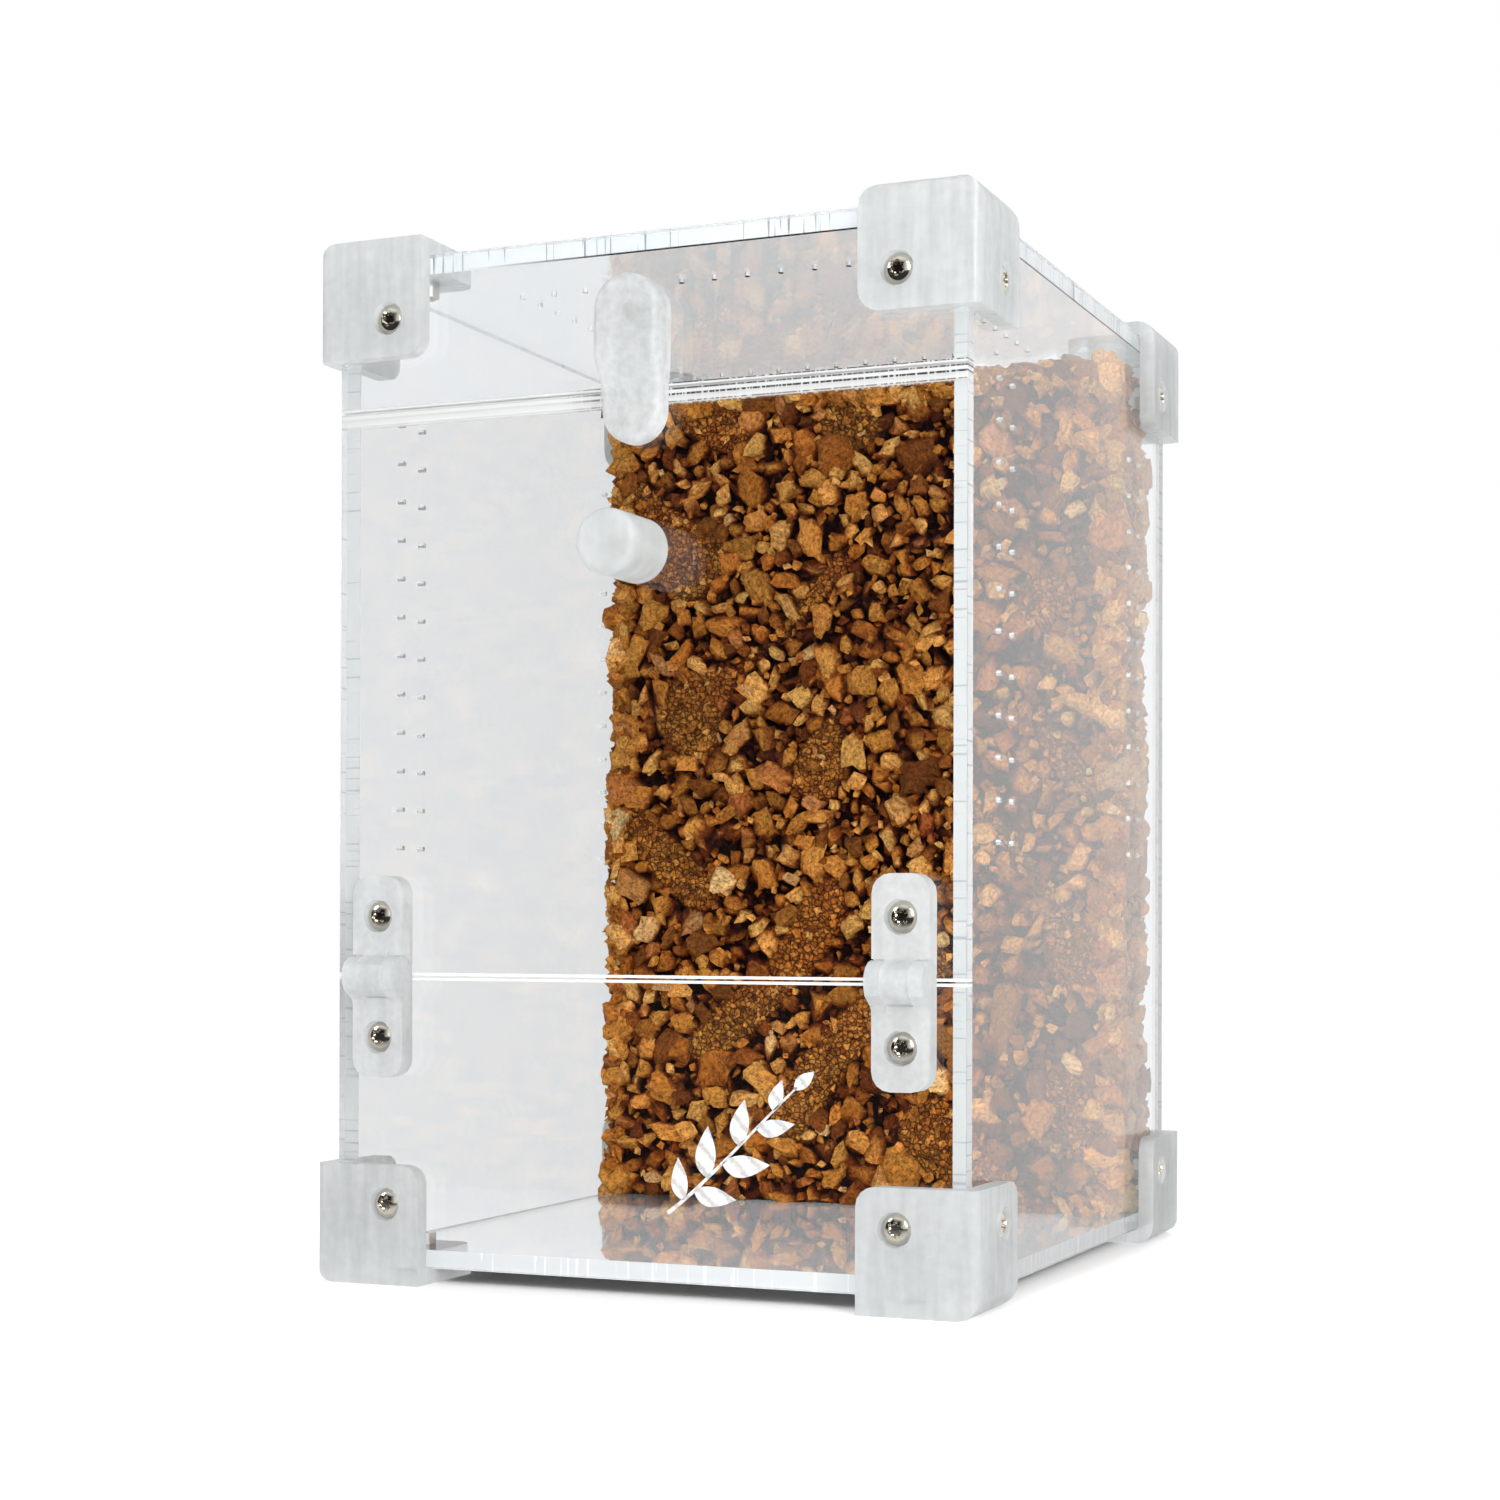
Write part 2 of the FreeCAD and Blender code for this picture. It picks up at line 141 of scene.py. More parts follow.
# %% [markdown]
# The camera stands to the right of the front and looks level, a little under
# half way up the box, so upright edges stay upright and the floor and the top
# are both seen at a slant. The lens is a 61 mm one on a 36 mm wide frame, and
# the small shift puts the box in the middle of the square picture.

# %% Camera
CAMERA_PLACE = Vector((325.9, -755.3, 108.4)) * MM
CAMERA_YAW = math.radians(22.13)
CAMERA_PITCH = math.radians(0.383)
CAMERA_ROLL = math.radians(0.143)
lens = bpy.data.cameras.new("studio_camera")
lens.sensor_width = 36.0
lens.lens = 61.17
lens.shift_x = -0.0493
lens.shift_y = 0.1030
lens.clip_start = 0.01
camera = bpy.data.objects.new("studio_camera", lens)
aim = Matrix.Rotation(CAMERA_YAW, 4, "Z") @ Matrix.Rotation(math.pi / 2 + CAMERA_PITCH, 4, "X")
camera.matrix_world = Matrix.Translation(CAMERA_PLACE) @ aim @ Matrix.Rotation(CAMERA_ROLL, 4, "Z")
bpy.context.scene.collection.objects.link(camera)
bpy.context.scene.camera = camera
bpy.context.scene.view_settings.view_transform = "Standard"
print("camera, mm", [round(v / MM) for v in CAMERA_PLACE])

# %% [markdown]
# The picture has a pure white background, and clear sheet shows whatever is
# behind it, so the world is white to the eye and through the acrylic. It lights
# the box more gently: brightest from behind and above, where the white sweep
# stands, and dimmer from the front and the sides. Acrylic also mirrors its
# surroundings: behind the box the bright backdrop, on the right and overhead
# the lit room, and in front on the left the dim part of it, which keeps the
# cork deep and dark through the door. Smooth steps on the direction tell them
# apart. A ray that was mirrored inside a sheet leaves it as a transmission ray,
# so the glossy depth is asked as well.

# %% World
ROOM_LIGHT = 0.36        # what lights the box from the front and the sides
ROOM_BACK = 0.90         # what lights it from behind and above
ROOM_FRONT = 0.008       # what polished faces mirror of the room in front
BACKDROP = 1.00          # what they mirror of the white backdrop
STEPS = {                # axis, where the step starts and ends, value before and after
    "behind": ("Y", -0.35, 0.35, ROOM_FRONT, BACKDROP),
    "beside": ("X", 0.0, 0.6, 0.0, 0.9),
    "above": ("Z", 0.5, 0.85, 0.0, 1.0),
    "rear": ("Y", 0.1, 0.8, ROOM_LIGHT, ROOM_BACK),
    "roof": ("Z", 0.4, 0.9, ROOM_LIGHT, ROOM_BACK),
}
world = bpy.data.worlds.new("white_studio")
world.use_nodes = True
bpy.context.scene.world = world
sky = world.node_tree
sky.nodes.clear()
ray = add(sky, "LightPath")
way = add(sky, "TexCoord")
along = add(sky, "SeparateXYZ", links={0: way.outputs["Generated"]})
step = {}
for title, (axis, start, end, low, high) in STEPS.items():
    ends = {"From Min": start, "From Max": end, "To Min": low, "To Max": high}
    step[title] = add(sky, "MapRange", ends, {"Value": along.outputs[axis]},
        interpolation_type="SMOOTHSTEP")
brighter = add(sky, "Math", links={0: step["behind"], 1: step["beside"]}, operation="MAXIMUM")
brighter = add(sky, "Math", links={0: brighter, 1: step["above"]}, operation="MAXIMUM")
softer = add(sky, "Math", links={0: step["rear"], 1: step["roof"]}, operation="MAXIMUM")
room = add(sky, "Background", {"Color": WHITE}, {"Strength": softer})
mirrored = add(sky, "Background", {"Color": WHITE}, {"Strength": brighter})
white = add(sky, "Background", {"Color": WHITE, "Strength": 1.0})
seen = add(sky, "Math",
    links={0: ray.outputs["Is Camera Ray"], 1: ray.outputs["Is Transmission Ray"]},
    operation="MAXIMUM")
plain = add(sky, "MixShader", links={0: seen, 1: room, 2: white})
once = add(sky, "Math", {1: 0.5}, {0: ray.outputs["Glossy Depth"]}, operation="GREATER_THAN")
sharp = add(sky, "Math", links={0: seen, 1: ray.outputs["Is Glossy Ray"]}, operation="MAXIMUM")
mirror = add(sky, "Math", links={0: once, 1: sharp}, operation="MULTIPLY")
both = add(sky, "MixShader", links={0: mirror, 1: plain, 2: mirrored})
add(sky, "OutputWorld", links={"Surface": both})
print("world, smooth steps", sorted(step))

# %% [markdown]
# Four soft lamps: the key is a tall panel on the right and a little in
# front, so upright rounded edges and right flanks are brightest, and a fill from
# the front left opens the cork. Two faint ones, low in front and just above the
# floor sheet, stand for the light that the white table throws up at the foot of
# the cork. None is seen by the eye or through the acrylic, and the faint ones
# not in mirrors either, where they would show as hard white patches.

# %% Lamps
def soft_lamp(name, place, target, width, height, watts):
    """A rectangular lamp at a place, turned to its target; all in metres."""
    lamp = bpy.data.lights.new(name, "AREA")
    lamp.shape = "RECTANGLE"
    lamp.size, lamp.size_y = width, height
    lamp.energy = watts
    made = bpy.data.objects.new(name, lamp)
    made.location = place
    made.rotation_euler = (Vector(target) - Vector(place)).to_track_quat("-Z", "Y").to_euler()
    made.visible_camera = False
    made.visible_transmission = False
    bpy.context.scene.collection.objects.link(made)
    return made


soft_lamp("key_lamp", (0.95, -0.90, 0.75), (0, 0, 0.15), 0.28, 0.8, 14.0)
soft_lamp("fill_lamp", (-1.2, -0.8, 1.0), (0, 0, 0.15), 0.5, 0.5, 4.5)
low = soft_lamp("low_lamp", (0.25, -0.75, 0.08), (0, 0.07, 0.02), 0.25, 0.1, 3.0)
foot = soft_lamp("foot_lamp", (0.0, -0.06, 0.03), (0.0, 0.07, 0.03), 0.17, 0.03, 0.16)
low.visible_glossy = foot.visible_glossy = False
print("lamps", sorted(lamp.name for lamp in bpy.data.lights))

# %% [markdown]
# The floor is a white table top. Under the box it is plain paper that takes the
# box's shade, so a dark line shows below the floor sheet. Just outside the
# box's outline it turns into an even white, as the sweep of a photographer's
# backdrop does, so no horizon shows, neither to the eye nor in the acrylic.
# What is seen through the acrylic is white everywhere, and a polished face in
# front mirrors only the dimmer table before it.

# %% Floor
FLOOR_HALF = 4.0             # half the side of the table top, m
FOOTPRINT = (0.100, 0.108)   # half width and depth of the shaded patch, m
table, tree = new_material("white_table_top")
ray = add(tree, "LightPath")
spot = add(tree, "TexCoord").outputs["Object"]
folded = add(tree, "VectorMath", links={0: spot}, operation="ABSOLUTE")
beyond = add(tree, "VectorMath", {1: FOOTPRINT + (0.0,)}, {0: folded}, operation="SUBTRACT")
sides = add(tree, "SeparateXYZ", links={0: beyond})
most = add(tree, "Math", links={0: sides.outputs["X"], 1: sides.outputs["Y"]}, operation="MAXIMUM")
outside = add(tree, "MapRange", {"From Max": 0.02, "To Max": 0.40},
              {"Value": most}, interpolation_type="SMOOTHSTEP")
far = add(tree, "MapRange", {"From Min": 0.05, "From Max": 0.35}, {"Value": most},
          interpolation_type="SMOOTHSTEP")
paper = add(tree, "BsdfDiffuse", {"Color": linear("#FCFCFC")})
lift = add(tree, "Emission", {"Color": WHITE}, {"Strength": outside})
near = add(tree, "AddShader", links={0: paper, 1: lift})
glow = add(tree, "Emission", {"Color": WHITE, "Strength": 1.02})
sweep = add(tree, "MixShader", links={0: far, 1: near, 2: glow})
through = add(tree, "Emission", {"Color": WHITE, "Strength": 1.0})
at = add(tree, "SeparateXYZ", links={0: spot})
before = add(tree, "MapRange", {"From Min": -0.30, "From Max": -0.05, "To Min": 0.04},
             {"Value": at.outputs["Y"]}, interpolation_type="SMOOTHSTEP")
mirrored = add(tree, "Emission", {"Color": WHITE}, {"Strength": before})
once = add(tree, "Math", {1: 0.5}, {0: ray.outputs["Glossy Depth"]}, operation="GREATER_THAN")
lit = add(tree, "MixShader", links={0: ray.outputs["Is Camera Ray"], 1: paper, 2: sweep})
lit = add(tree, "MixShader", links={0: ray.outputs["Is Transmission Ray"], 1: lit, 2: through})
sharp = add(tree, "Math",
    links={0: ray.outputs["Is Transmission Ray"], 1: ray.outputs["Is Glossy Ray"]},
    operation="MAXIMUM")
mirror = add(tree, "Math", links={0: once, 1: sharp}, operation="MULTIPLY")
mix = add(tree, "MixShader", links={0: mirror, 1: lit, 2: mirrored})
add(tree, "OutputMaterial", links={"Surface": mix})
corners = [(x * FLOOR_HALF, y * FLOOR_HALF, 0) for x, y in ((-1, -1), (1, -1), (1, 1), (-1, 1))]
floor_mesh = bpy.data.meshes.new("table_top")
floor_mesh.from_pydata(corners, [], [(0, 1, 2, 3)])
floor_mesh.materials.append(table)
floor = bpy.data.objects.new("table_top", floor_mesh)
bpy.context.scene.collection.objects.link(floor)
floor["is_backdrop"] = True
print("table top, m", 2 * FLOOR_HALF)

# %% [markdown]
# Cast acrylic sheet, 5 mm thick, cut by laser. The faces are clear and glassy
# with an index of 1.49; the top sheet, seen at a glancing angle, takes a lower
# one and mirrors less. The cut edges and the vent holes are melted by the
# laser, with fine striations across the thickness that scatter light, so they
# read white. Whether a point lies on a face or an edge is told by its normal in
# the sheet's own frame. Shadow and diffuse rays pass straight through, so that
# light reaches the cork without noisy caustics; only the floor sheet keeps its
# shade on the table.
# The sheets in front have a thin melted rim on both sides of the door's lower
# seam. Along the upper seam lies a band of painted reflection: fine dark and
# pale lines, given from below upwards, that stand for the cork seen in the
# seam's cut edges, flecked with pale dashes and paler still on the left, where
# white lies behind.
# Where the top sheet rests on the others, its edge has a hair-thin line of
# painted shade that fades towards the left.

# %% Acrylic
STRIATION = 1.1 * MM     # spacing of the laser's marks
RIM = 1.1 * MM           # melted rim on each side of the lower seam
SEAM_LOW, SEAM_HIGH = 91.7 * MM, 261.5 * MM
BAND = (-5.0, 2.0)       # ends of the upper seam's painted band, mm from the seam
PAINTED_SEAM_LINES = (                # its painted lines: where each starts, mm from the seam, tone and cover
    (-5.0, "#C4C6C6", 0.0), (-4.5, "#6E5F4A", 0.8), (-4.1, "#C4C6C6", 0.85),
    (-2.5, "#1E1917", 0.97), (-1.9, "#CDCFCF", 0.95), (-0.9, "#3E3A3C", 0.9),
    (-0.4, "#CDCFCF", 0.95), (0.85, "#3E3A42", 0.9), (1.2, "#C4C6C6", 0.0),
)
SHADE_LINE_HEIGHTS = (302.35 * MM, 302.65 * MM)   # heights between which the painted line of shade ends


def acrylic(name, thin, passes=0.95, rims_and_painted_band=False, groove="#B9BDC0", melt="#D8DADB",
            clarity=0.5, ior=1.49, shade_line=False):
    """Clear sheet whose thin direction is the axis 0, 1 or 2."""
    material, tree = new_material(name)
    place = add(tree, "TexCoord")
    spot = place.outputs["Object"]
    at = add(tree, "SeparateXYZ", links={0: spot})
    normal = add(tree, "SeparateXYZ", links={0: place.outputs["Normal"]})
    across = add(tree, "Math", links={0: normal.outputs[thin]}, operation="ABSOLUTE")
    edge = add(tree, "Math", {1: 0.5}, {0: across}, operation="LESS_THAN")
    squeeze = [1.0 / STRIATION] * 3
    squeeze[thin] = 30.0
    lines = add(tree, "Mapping", {"Scale": squeeze}, {"Vector": spot})
    streak = add(tree, "TexNoise", {"Scale": 1.0, "Detail": 1.0}, {"Vector": lines})
    tone = add(tree, "ValToRGB", links={"Fac": streak})
    set_stops(tone, ((0.33, groove), (0.37, melt)))
    shown = tone.outputs["Color"]
    # Painted shade: a dark line along the lower edge of the top sheet's cut face, fading to the
    # left.
    if shade_line:
        under = add(tree, "MapRange", {"From Min": SHADE_LINE_HEIGHTS[0], "From Max": SHADE_LINE_HEIGHTS[1]},
            {"Value": at.outputs["Z"]})
        right = add(tree, "MapRange",
            {"From Min": -60 * MM, "From Max": -10 * MM, "To Min": 1.0, "To Max": 0.04},
            {"Value": at.outputs["X"]})
        dark = add(tree, "Math", links={0: under, 1: right}, operation="MAXIMUM")
        shown = add(tree, "VectorMath", links={0: shown, "Scale": dark}, operation="SCALE")
    bump = add(tree, "Bump", {"Strength": 0.3, "Distance": 0.2 * MM}, {"Height": streak})
    clear = add(tree, "BsdfPrincipled",
        {"Base Color": linear("#FBFDFE"), "Roughness": 0.0, "IOR": ior,
        "Transmission Weight": 1.0})
    cut = add(tree, "BsdfPrincipled",
        {"Roughness": 0.10, "IOR": ior, "Transmission Weight": clarity},
        {"Base Color": shown, "Normal": bump})
    body = add(tree, "MixShader", links={0: edge, 1: clear, 2: cut})
    if rims_and_painted_band:
        off = add(tree, "Math", {1: SEAM_LOW}, {0: at.outputs["Z"]}, operation="SUBTRACT")
        size = add(tree, "Math", links={0: off}, operation="ABSOLUTE")
        rim = add(tree, "Math", {1: RIM}, {0: size}, operation="LESS_THAN")
        melted_and_painted = add(tree, "BsdfPrincipled",
            {"Base Color": linear("#D9DBDB"), "Roughness": 0.3, "Transmission Weight": 0.25})
        body = add(tree, "MixShader", links={0: rim, 1: body, 2: melted_and_painted})
        # Painted reflection at the upper seam: dark and pale lines for the cork seen in the seam's
        # cut edges, paler to the left, where white lies behind.
        off = add(tree, "MapRange",
            {"From Min": SEAM_HIGH + BAND[0] * MM, "From Max": SEAM_HIGH + BAND[1] * MM},
            {"Value": at.outputs["Z"]})
        band = add(tree, "ValToRGB", links={"Fac": off})
        band.color_ramp.interpolation = "CONSTANT"
        span = BAND[1] - BAND[0]
        set_stops(band, [((start - BAND[0]) / span, tint, cover) for start, tint, cover in PAINTED_SEAM_LINES])
        dashes = add(tree, "Mapping", {"Scale": (1.0 / (0.9 * MM), 0.0, 150.0)}, {"Vector": spot})
        broken = add(tree, "TexNoise", {"Scale": 1.0, "Detail": 1.0}, {"Vector": dashes})
        fleck = add(tree, "MapRange", {"From Min": 0.52, "From Max": 0.62, "To Max": 0.85},
            {"Value": broken})
        faint = add(tree, "MapRange",
            {"From Min": -24 * MM, "From Max": -10 * MM, "To Min": 0.8, "To Max": 0.0},
            {"Value": at.outputs["X"]})
        pale = add(tree, "Math", links={0: fleck, 1: faint}, operation="MAXIMUM")
        toned = add(tree, "MixRGB", {"Color2": linear("#C8CACA")},
            {"Fac": pale, "Color1": band.outputs["Color"]})
        melted_and_painted = add(tree, "BsdfPrincipled", {"Roughness": 0.3, "Transmission Weight": 0.25},
            {"Base Color": toned})
        body = add(tree, "MixShader", links={0: band.outputs["Alpha"], 1: body, 2: melted_and_painted})
    ray = add(tree, "LightPath")
    straight = add(tree, "Math",
        links={0: ray.outputs["Is Shadow Ray"], 1: ray.outputs["Is Diffuse Ray"]},
        operation="MAXIMUM")
    passing = add(tree, "BsdfTransparent", {"Color": (passes, passes, passes, 1)})
    whole = add(tree, "MixShader", links={0: straight, 1: body, 2: passing})
    add(tree, "OutputMaterial", links={"Surface": whole})
    return material


def dress(material, *nodes):
    """Give measured pieces a material in place of their own."""
    for name in nodes:
        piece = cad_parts[name]
        piece.data.materials.clear()
        piece.data.materials.append(material)


dress(acrylic("laser_cut_acrylic_side", 0, melt="#D0D2D2", groove="#B8BBBC"),
      "left_panel", "right_panel")
dress(acrylic("laser_cut_acrylic_front", 1, rims_and_painted_band=True),
      "front_lower_panel", "front_strip", "door_panel")
dress(acrylic("laser_cut_acrylic_back", 1), "back_panel")
dress(acrylic("laser_cut_acrylic_top", 2, groove="#9BA1A5", melt="#DCDFE1", clarity=0.35,
              ior=1.34, shade_line=True), "top_panel")
dress(acrylic("laser_cut_acrylic_floor", 2, passes=0.1, clarity=0.3, groove="#EEF0F2"),
      "floor_panel")
sheets = [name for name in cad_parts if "panel" in name or "strip" in name]
print("acrylic sheets", len(sheets))

# %% [markdown]
# The brackets, hinges, knob and catch are printed in natural, uncoloured
# plastic: milky, with light going in and coming out softened. A rough, half
# transmitting surface over a pale base gives that, mixed with a share that
# passes light on in all directions, so that a print glows when lit from behind.
# It has faint upright bands from the print's walls, fine cloudy patches and a
# fine grain.

# %% Frosted print
def frosted_print(name, band, grain, clarity, cloud, gloss=0.32, glow=0.35):
    """Natural plastic with bands and grain of given width, metres."""
    material, tree = new_material(name)
    spot = add(tree, "TexCoord").outputs["Object"]
    upright = add(tree, "Mapping", {"Scale": (1.0, 1.0, 0.12)}, {"Vector": spot})
    bands = add(tree, "TexNoise", {"Scale": 1.0 / band, "Detail": 2.0}, {"Vector": upright})
    tone = add(tree, "ValToRGB", links={"Fac": bands})
    set_stops(tone, ((0.27, "#D9DCDD"), (0.73, "#EDEFEF")))
    fine = add(tree, "TexNoise", {"Scale": 1.0 / grain, "Detail": 3.0, "Roughness": 0.6},
        {"Vector": spot})
    cloudy = add(tree, "MapRange", {"From Min": 0.36, "From Max": 0.62, "To Min": 1.0 - cloud},
                 {"Value": fine})
    tinted = add(tree, "VectorMath", links={0: tone.outputs["Color"], "Scale": cloudy},
        operation="SCALE")
    bump = add(tree, "Bump", {"Strength": 0.3, "Distance": 0.25 * MM}, {"Height": fine})
    shell = add(tree, "BsdfPrincipled",
        {"Roughness": gloss, "IOR": 1.47, "Transmission Weight": clarity},
        {"Base Color": tinted, "Normal": bump})
    deep = add(tree, "BsdfTranslucent", links={"Color": tinted, "Normal": bump})
    milky = add(tree, "MixShader", {0: glow}, {1: shell, 2: deep})
    ray = add(tree, "LightPath")
    passing = add(tree, "BsdfTransparent", {"Color": (0.6, 0.61, 0.61, 1)})
    whole = add(tree, "MixShader", links={0: ray.outputs["Is Shadow Ray"], 1: milky, 2: passing})
    add(tree, "OutputMaterial", links={"Surface": whole})
    return material


# %% [markdown]
# The measured prints are drawn with short chords, so that the solids stay
# light. A welded copy with smooth shading rounds them again to the eye: the
# loose triangles are joined, and only edges sharper than 32 degrees stay sharp.

# %% Smoothed prints
SHARP = math.radians(32)     # edges of a print that are sharper than this stay sharp


def smoothed(name, material, body):
    """A welded, smooth copy of a measured print, which it replaces."""
    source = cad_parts[name].data
    count = len(source.vertices)
    points = np.empty(count * 3)
    source.vertices.foreach_get("co", points)
    points = points.reshape(-1, 3)
    corners = np.empty(len(source.loops), int)
    source.loops.foreach_get("vertex_index", corners)
    made = surface(name + "_smooth", *weld(points, corners.reshape(-1, 3)), material, body,
        slot="frosted_print")
    made.data.set_sharp_from_angle(angle=SHARP)
    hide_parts(name)


corner_print = frosted_print("natural_print_corner", 3.4 * MM, 3.2 * MM, 0.60, 0.07)
leaf_print = frosted_print("natural_print_leaf", 5.0 * MM, 2.0 * MM, 0.52, 0.08)
for name in sorted(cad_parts):
    if name.startswith(("bracket_low", "bracket_top")):
        smoothed(name, corner_print, "box")
    elif name.startswith("hinge_fixed_leaf"):
        smoothed(name, leaf_print, "box")
    elif name.startswith("hinge_door_leaf"):
        smoothed(name, leaf_print, "door")

# %% [markdown]
# The knob and the catch are one kind of shape. Its outline is a stadium, which
# is a circle pulled apart along an upright spine, and rings of that outline
# step forward, round the rim by a quarter circle and close over the face. Round
# the knob the spine has no length. The catch tapers from a wide, thick head to
# a thinner tongue, and its face is a little uneven from the print.

# %% Knob and catch
FRONT = -96.5              # y of the front sheets' outer face, mm
# Half width, thickness and spine of each, mm: at its low end and at its high one
KNOB = ((9.5, 9.5), (22.0, 22.0), (215.0, 215.0))
CATCH = ((9.6, 10.3), (5.6, 9.8), (254.9, 283.2))
TURN = (258.0, 272.0)      # heights between which the tongue swells into the head
RIM_STEPS, END_STEPS, SIDE_STEPS = 7, 33, 17
PLATE_SHARP = math.radians(50)


def rounded_plate(name, shape, edge, back, material, body, bumpy=0.0):
    """Point = spine z + r (cos a, sin a), where r = R(z) less the rim's inset;
    y = back - H(z) + the drop at the rim."""
    (r_low, r_high), (h_low, h_high), (low, high) = shape
    side = np.linspace(high, low, SIDE_STEPS)[1:-1]
    ends = np.linspace(0, np.pi, END_STEPS), np.linspace(np.pi, 2 * np.pi, END_STEPS)
    angle = np.concatenate([ends[0], np.full(len(side), np.pi), ends[1], np.zeros(len(side))])
    spine = np.concatenate([np.full(END_STEPS, high), side, np.full(END_STEPS, low), side[::-1]])
    share = np.clip((spine - TURN[0]) / (TURN[1] - TURN[0]), 0, 1)
    share = share * share * (3 - 2 * share)
    wide, thick = r_low + (r_high - r_low) * share, h_low + (h_high - h_low) * share
    a = np.linspace(0, np.pi / 2, RIM_STEPS)[:, None]
    inner = np.array((0.8, 0.6, 0.4, 0.2, 0.0))[:, None]
    r = np.concatenate([0 * wide[None], wide[None], wide - edge * (1 - np.cos(a)),
        (wide - edge) * inner])
    y = np.concatenate([0 * thick[None], 0 * thick[None], edge * (1 - np.sin(a)) - thick,
        -thick + 0 * inner]) + back
    x, z = r * np.cos(angle), spine + r * np.sin(angle)
    wave = (np.sin(1.9 * x + 2.3 * z) + np.sin(3.1 * x - 1.7 * z) + np.sin(0.9 * x + 4.1 * z)) / 3
    y[3:] -= bumpy * wave[3:]
    points, faces = weld(np.stack([x, y, z], 2).reshape(-1, 3) * MM, tube(*x.shape))
    made = surface(name, points, faces, material, body, slot="frosted_print")
    made.data.set_sharp_from_angle(angle=PLATE_SHARP)
    return made


knob_print = frosted_print("natural_print_knob", 8.0 * MM, 4.0 * MM, 0.55, 0.06, gloss=0.24)
catch_print = frosted_print("natural_print_catch", 6.0 * MM, 2.6 * MM, 0.55, 0.14)
knob = rounded_plate("door_knob", KNOB, 2.5, FRONT, knob_print, "door")
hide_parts("knob")
catch = rounded_plate("catch_body", CATCH, 2.4, FRONT - 0.2, catch_print, "catch", bumpy=0.15)
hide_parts("turn_catch")
print("knob and catch, faces", len(knob.data.polygons), len(catch.data.polygons))

# %% [markdown]
# Stainless steel for screws, nuts, washer and pins. The screws are cold-headed
# and tumbled, so bright with small soft highlights. The nuts are punched from
# strip and stay satin.

# %% Stainless steel
def stainless(name, colour, roughness):
    """Stainless steel with very fine marks of its working."""
    material, tree = new_material(name)
    spot = add(tree, "TexCoord").outputs["Object"]
    marks = add(tree, "TexNoise", {"Scale": 1500.0, "Detail": 2.0}, {"Vector": spot})
    bump = add(tree, "Bump", {"Strength": 0.12, "Distance": 0.1 * MM}, {"Height": marks})
    metal = add(tree, "BsdfPrincipled",
        {"Base Color": linear(colour), "Metallic": 1.0, "Roughness": roughness},
        {"Normal": bump})
    add(tree, "OutputMaterial", links={"Surface": metal})
    return material


steel = stainless("tumbled_stainless_steel", "#D9D3C7", 0.14)
satin = stainless("satin_stainless_nuts", "#EDEBE8", 0.55)
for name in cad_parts:
    if "nuts" in name:
        dress(satin, name)
    elif "screw" in name or "pin" in name or "washer" in name:
        dress(steel, name)

# %% [markdown]
# Each screw is a pan head with a six-lobed recess, and it is what catches the
# eye on every bracket. It is one surface on a polar grid: the dome falls from
# its middle to its rim, and inside a wavy circle the recess drops by its depth.

# %% Screws with a six-lobed recess
HEAD = (4.5, 3.4)            # radius and height, mm
SHANK = 2.0                  # its radius
RECESS = (1.85, 0.42, 1.2)   # mean radius, depth of the lobes, depth
WALL = 0.14                  # over how much radius the recess drops
DOME = (4.8, 0.9)            # radius at which the dome would end, and its fullness
SPIN = (0.3, 1.1)            # turn of the first head and from one to the next, radians
SCREW_SHARP = math.radians(40)
RINGS = (0.0, 0.6, 1.1, 1.35, 1.5, 1.65, 1.8, 1.95, 2.15, 2.35, 2.8, 3.3, 3.75, 4.1, 4.4, 4.5)


def screw_profile(length, around=36):
    """Height over radius: a dome less a recess of radius 1.85 + 0.42 cos 6t,
    then the flank and the shank."""
    t = np.arange(around) / around * 2 * np.pi
    r = np.array(RINGS)[:, None]
    dome = HEAD[1] * np.sqrt(np.clip(1 - (r / DOME[0]) ** 2, 0, 1)) ** DOME[1]
    wall = np.clip((RECESS[0] + RECESS[1] * np.cos(6 * t) - r) / WALL, 0, 1)
    h = dome - RECESS[2] * wall * (1 - 0.12 * (r / 1.6) ** 2)
    r = np.repeat(r, around, 1)
    below = np.array([(HEAD[0], 0.3), (HEAD[0] - 0.2, 0.0), (SHANK, 0.0), (SHANK, -length + 0.4),
                      (SHANK - 0.4, -length), (0.0, -length)])
    r = np.concatenate([r, np.repeat(below[:, :1], around, 1)])
    h = np.concatenate([h, np.repeat(below[:, 1:], around, 1)])
    return r * np.cos(t), r * np.sin(t), h


def screws(name, places, outward, length, body):
    """All screws of one side in one mesh: their heads' seats and the way they face."""
    x, y, h = screw_profile(length)
    turn = np.array(Vector(outward).to_track_quat("Z", "Y").to_matrix())
    local = np.stack([x, y, h], 2).reshape(-1, 3)
    quads = tube(*x.shape)[:, [1, 0, 3, 2]]
    points, faces = [], []
    for k, place_mm in enumerate(places):
        spin = np.array(Matrix.Rotation(k * SPIN[1] + SPIN[0], 3, "Z"))
        points.append(local @ spin.T @ turn.T + np.array(place_mm))
        faces.append(quads + k * len(local))
    made = surface(name + "_detailed", *weld(np.concatenate(points) * MM, np.concatenate(faces)),
        steel, body, slot="steel")
    made.data.set_sharp_from_angle(angle=SCREW_SHARP)
    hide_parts(name)
    return len(places)


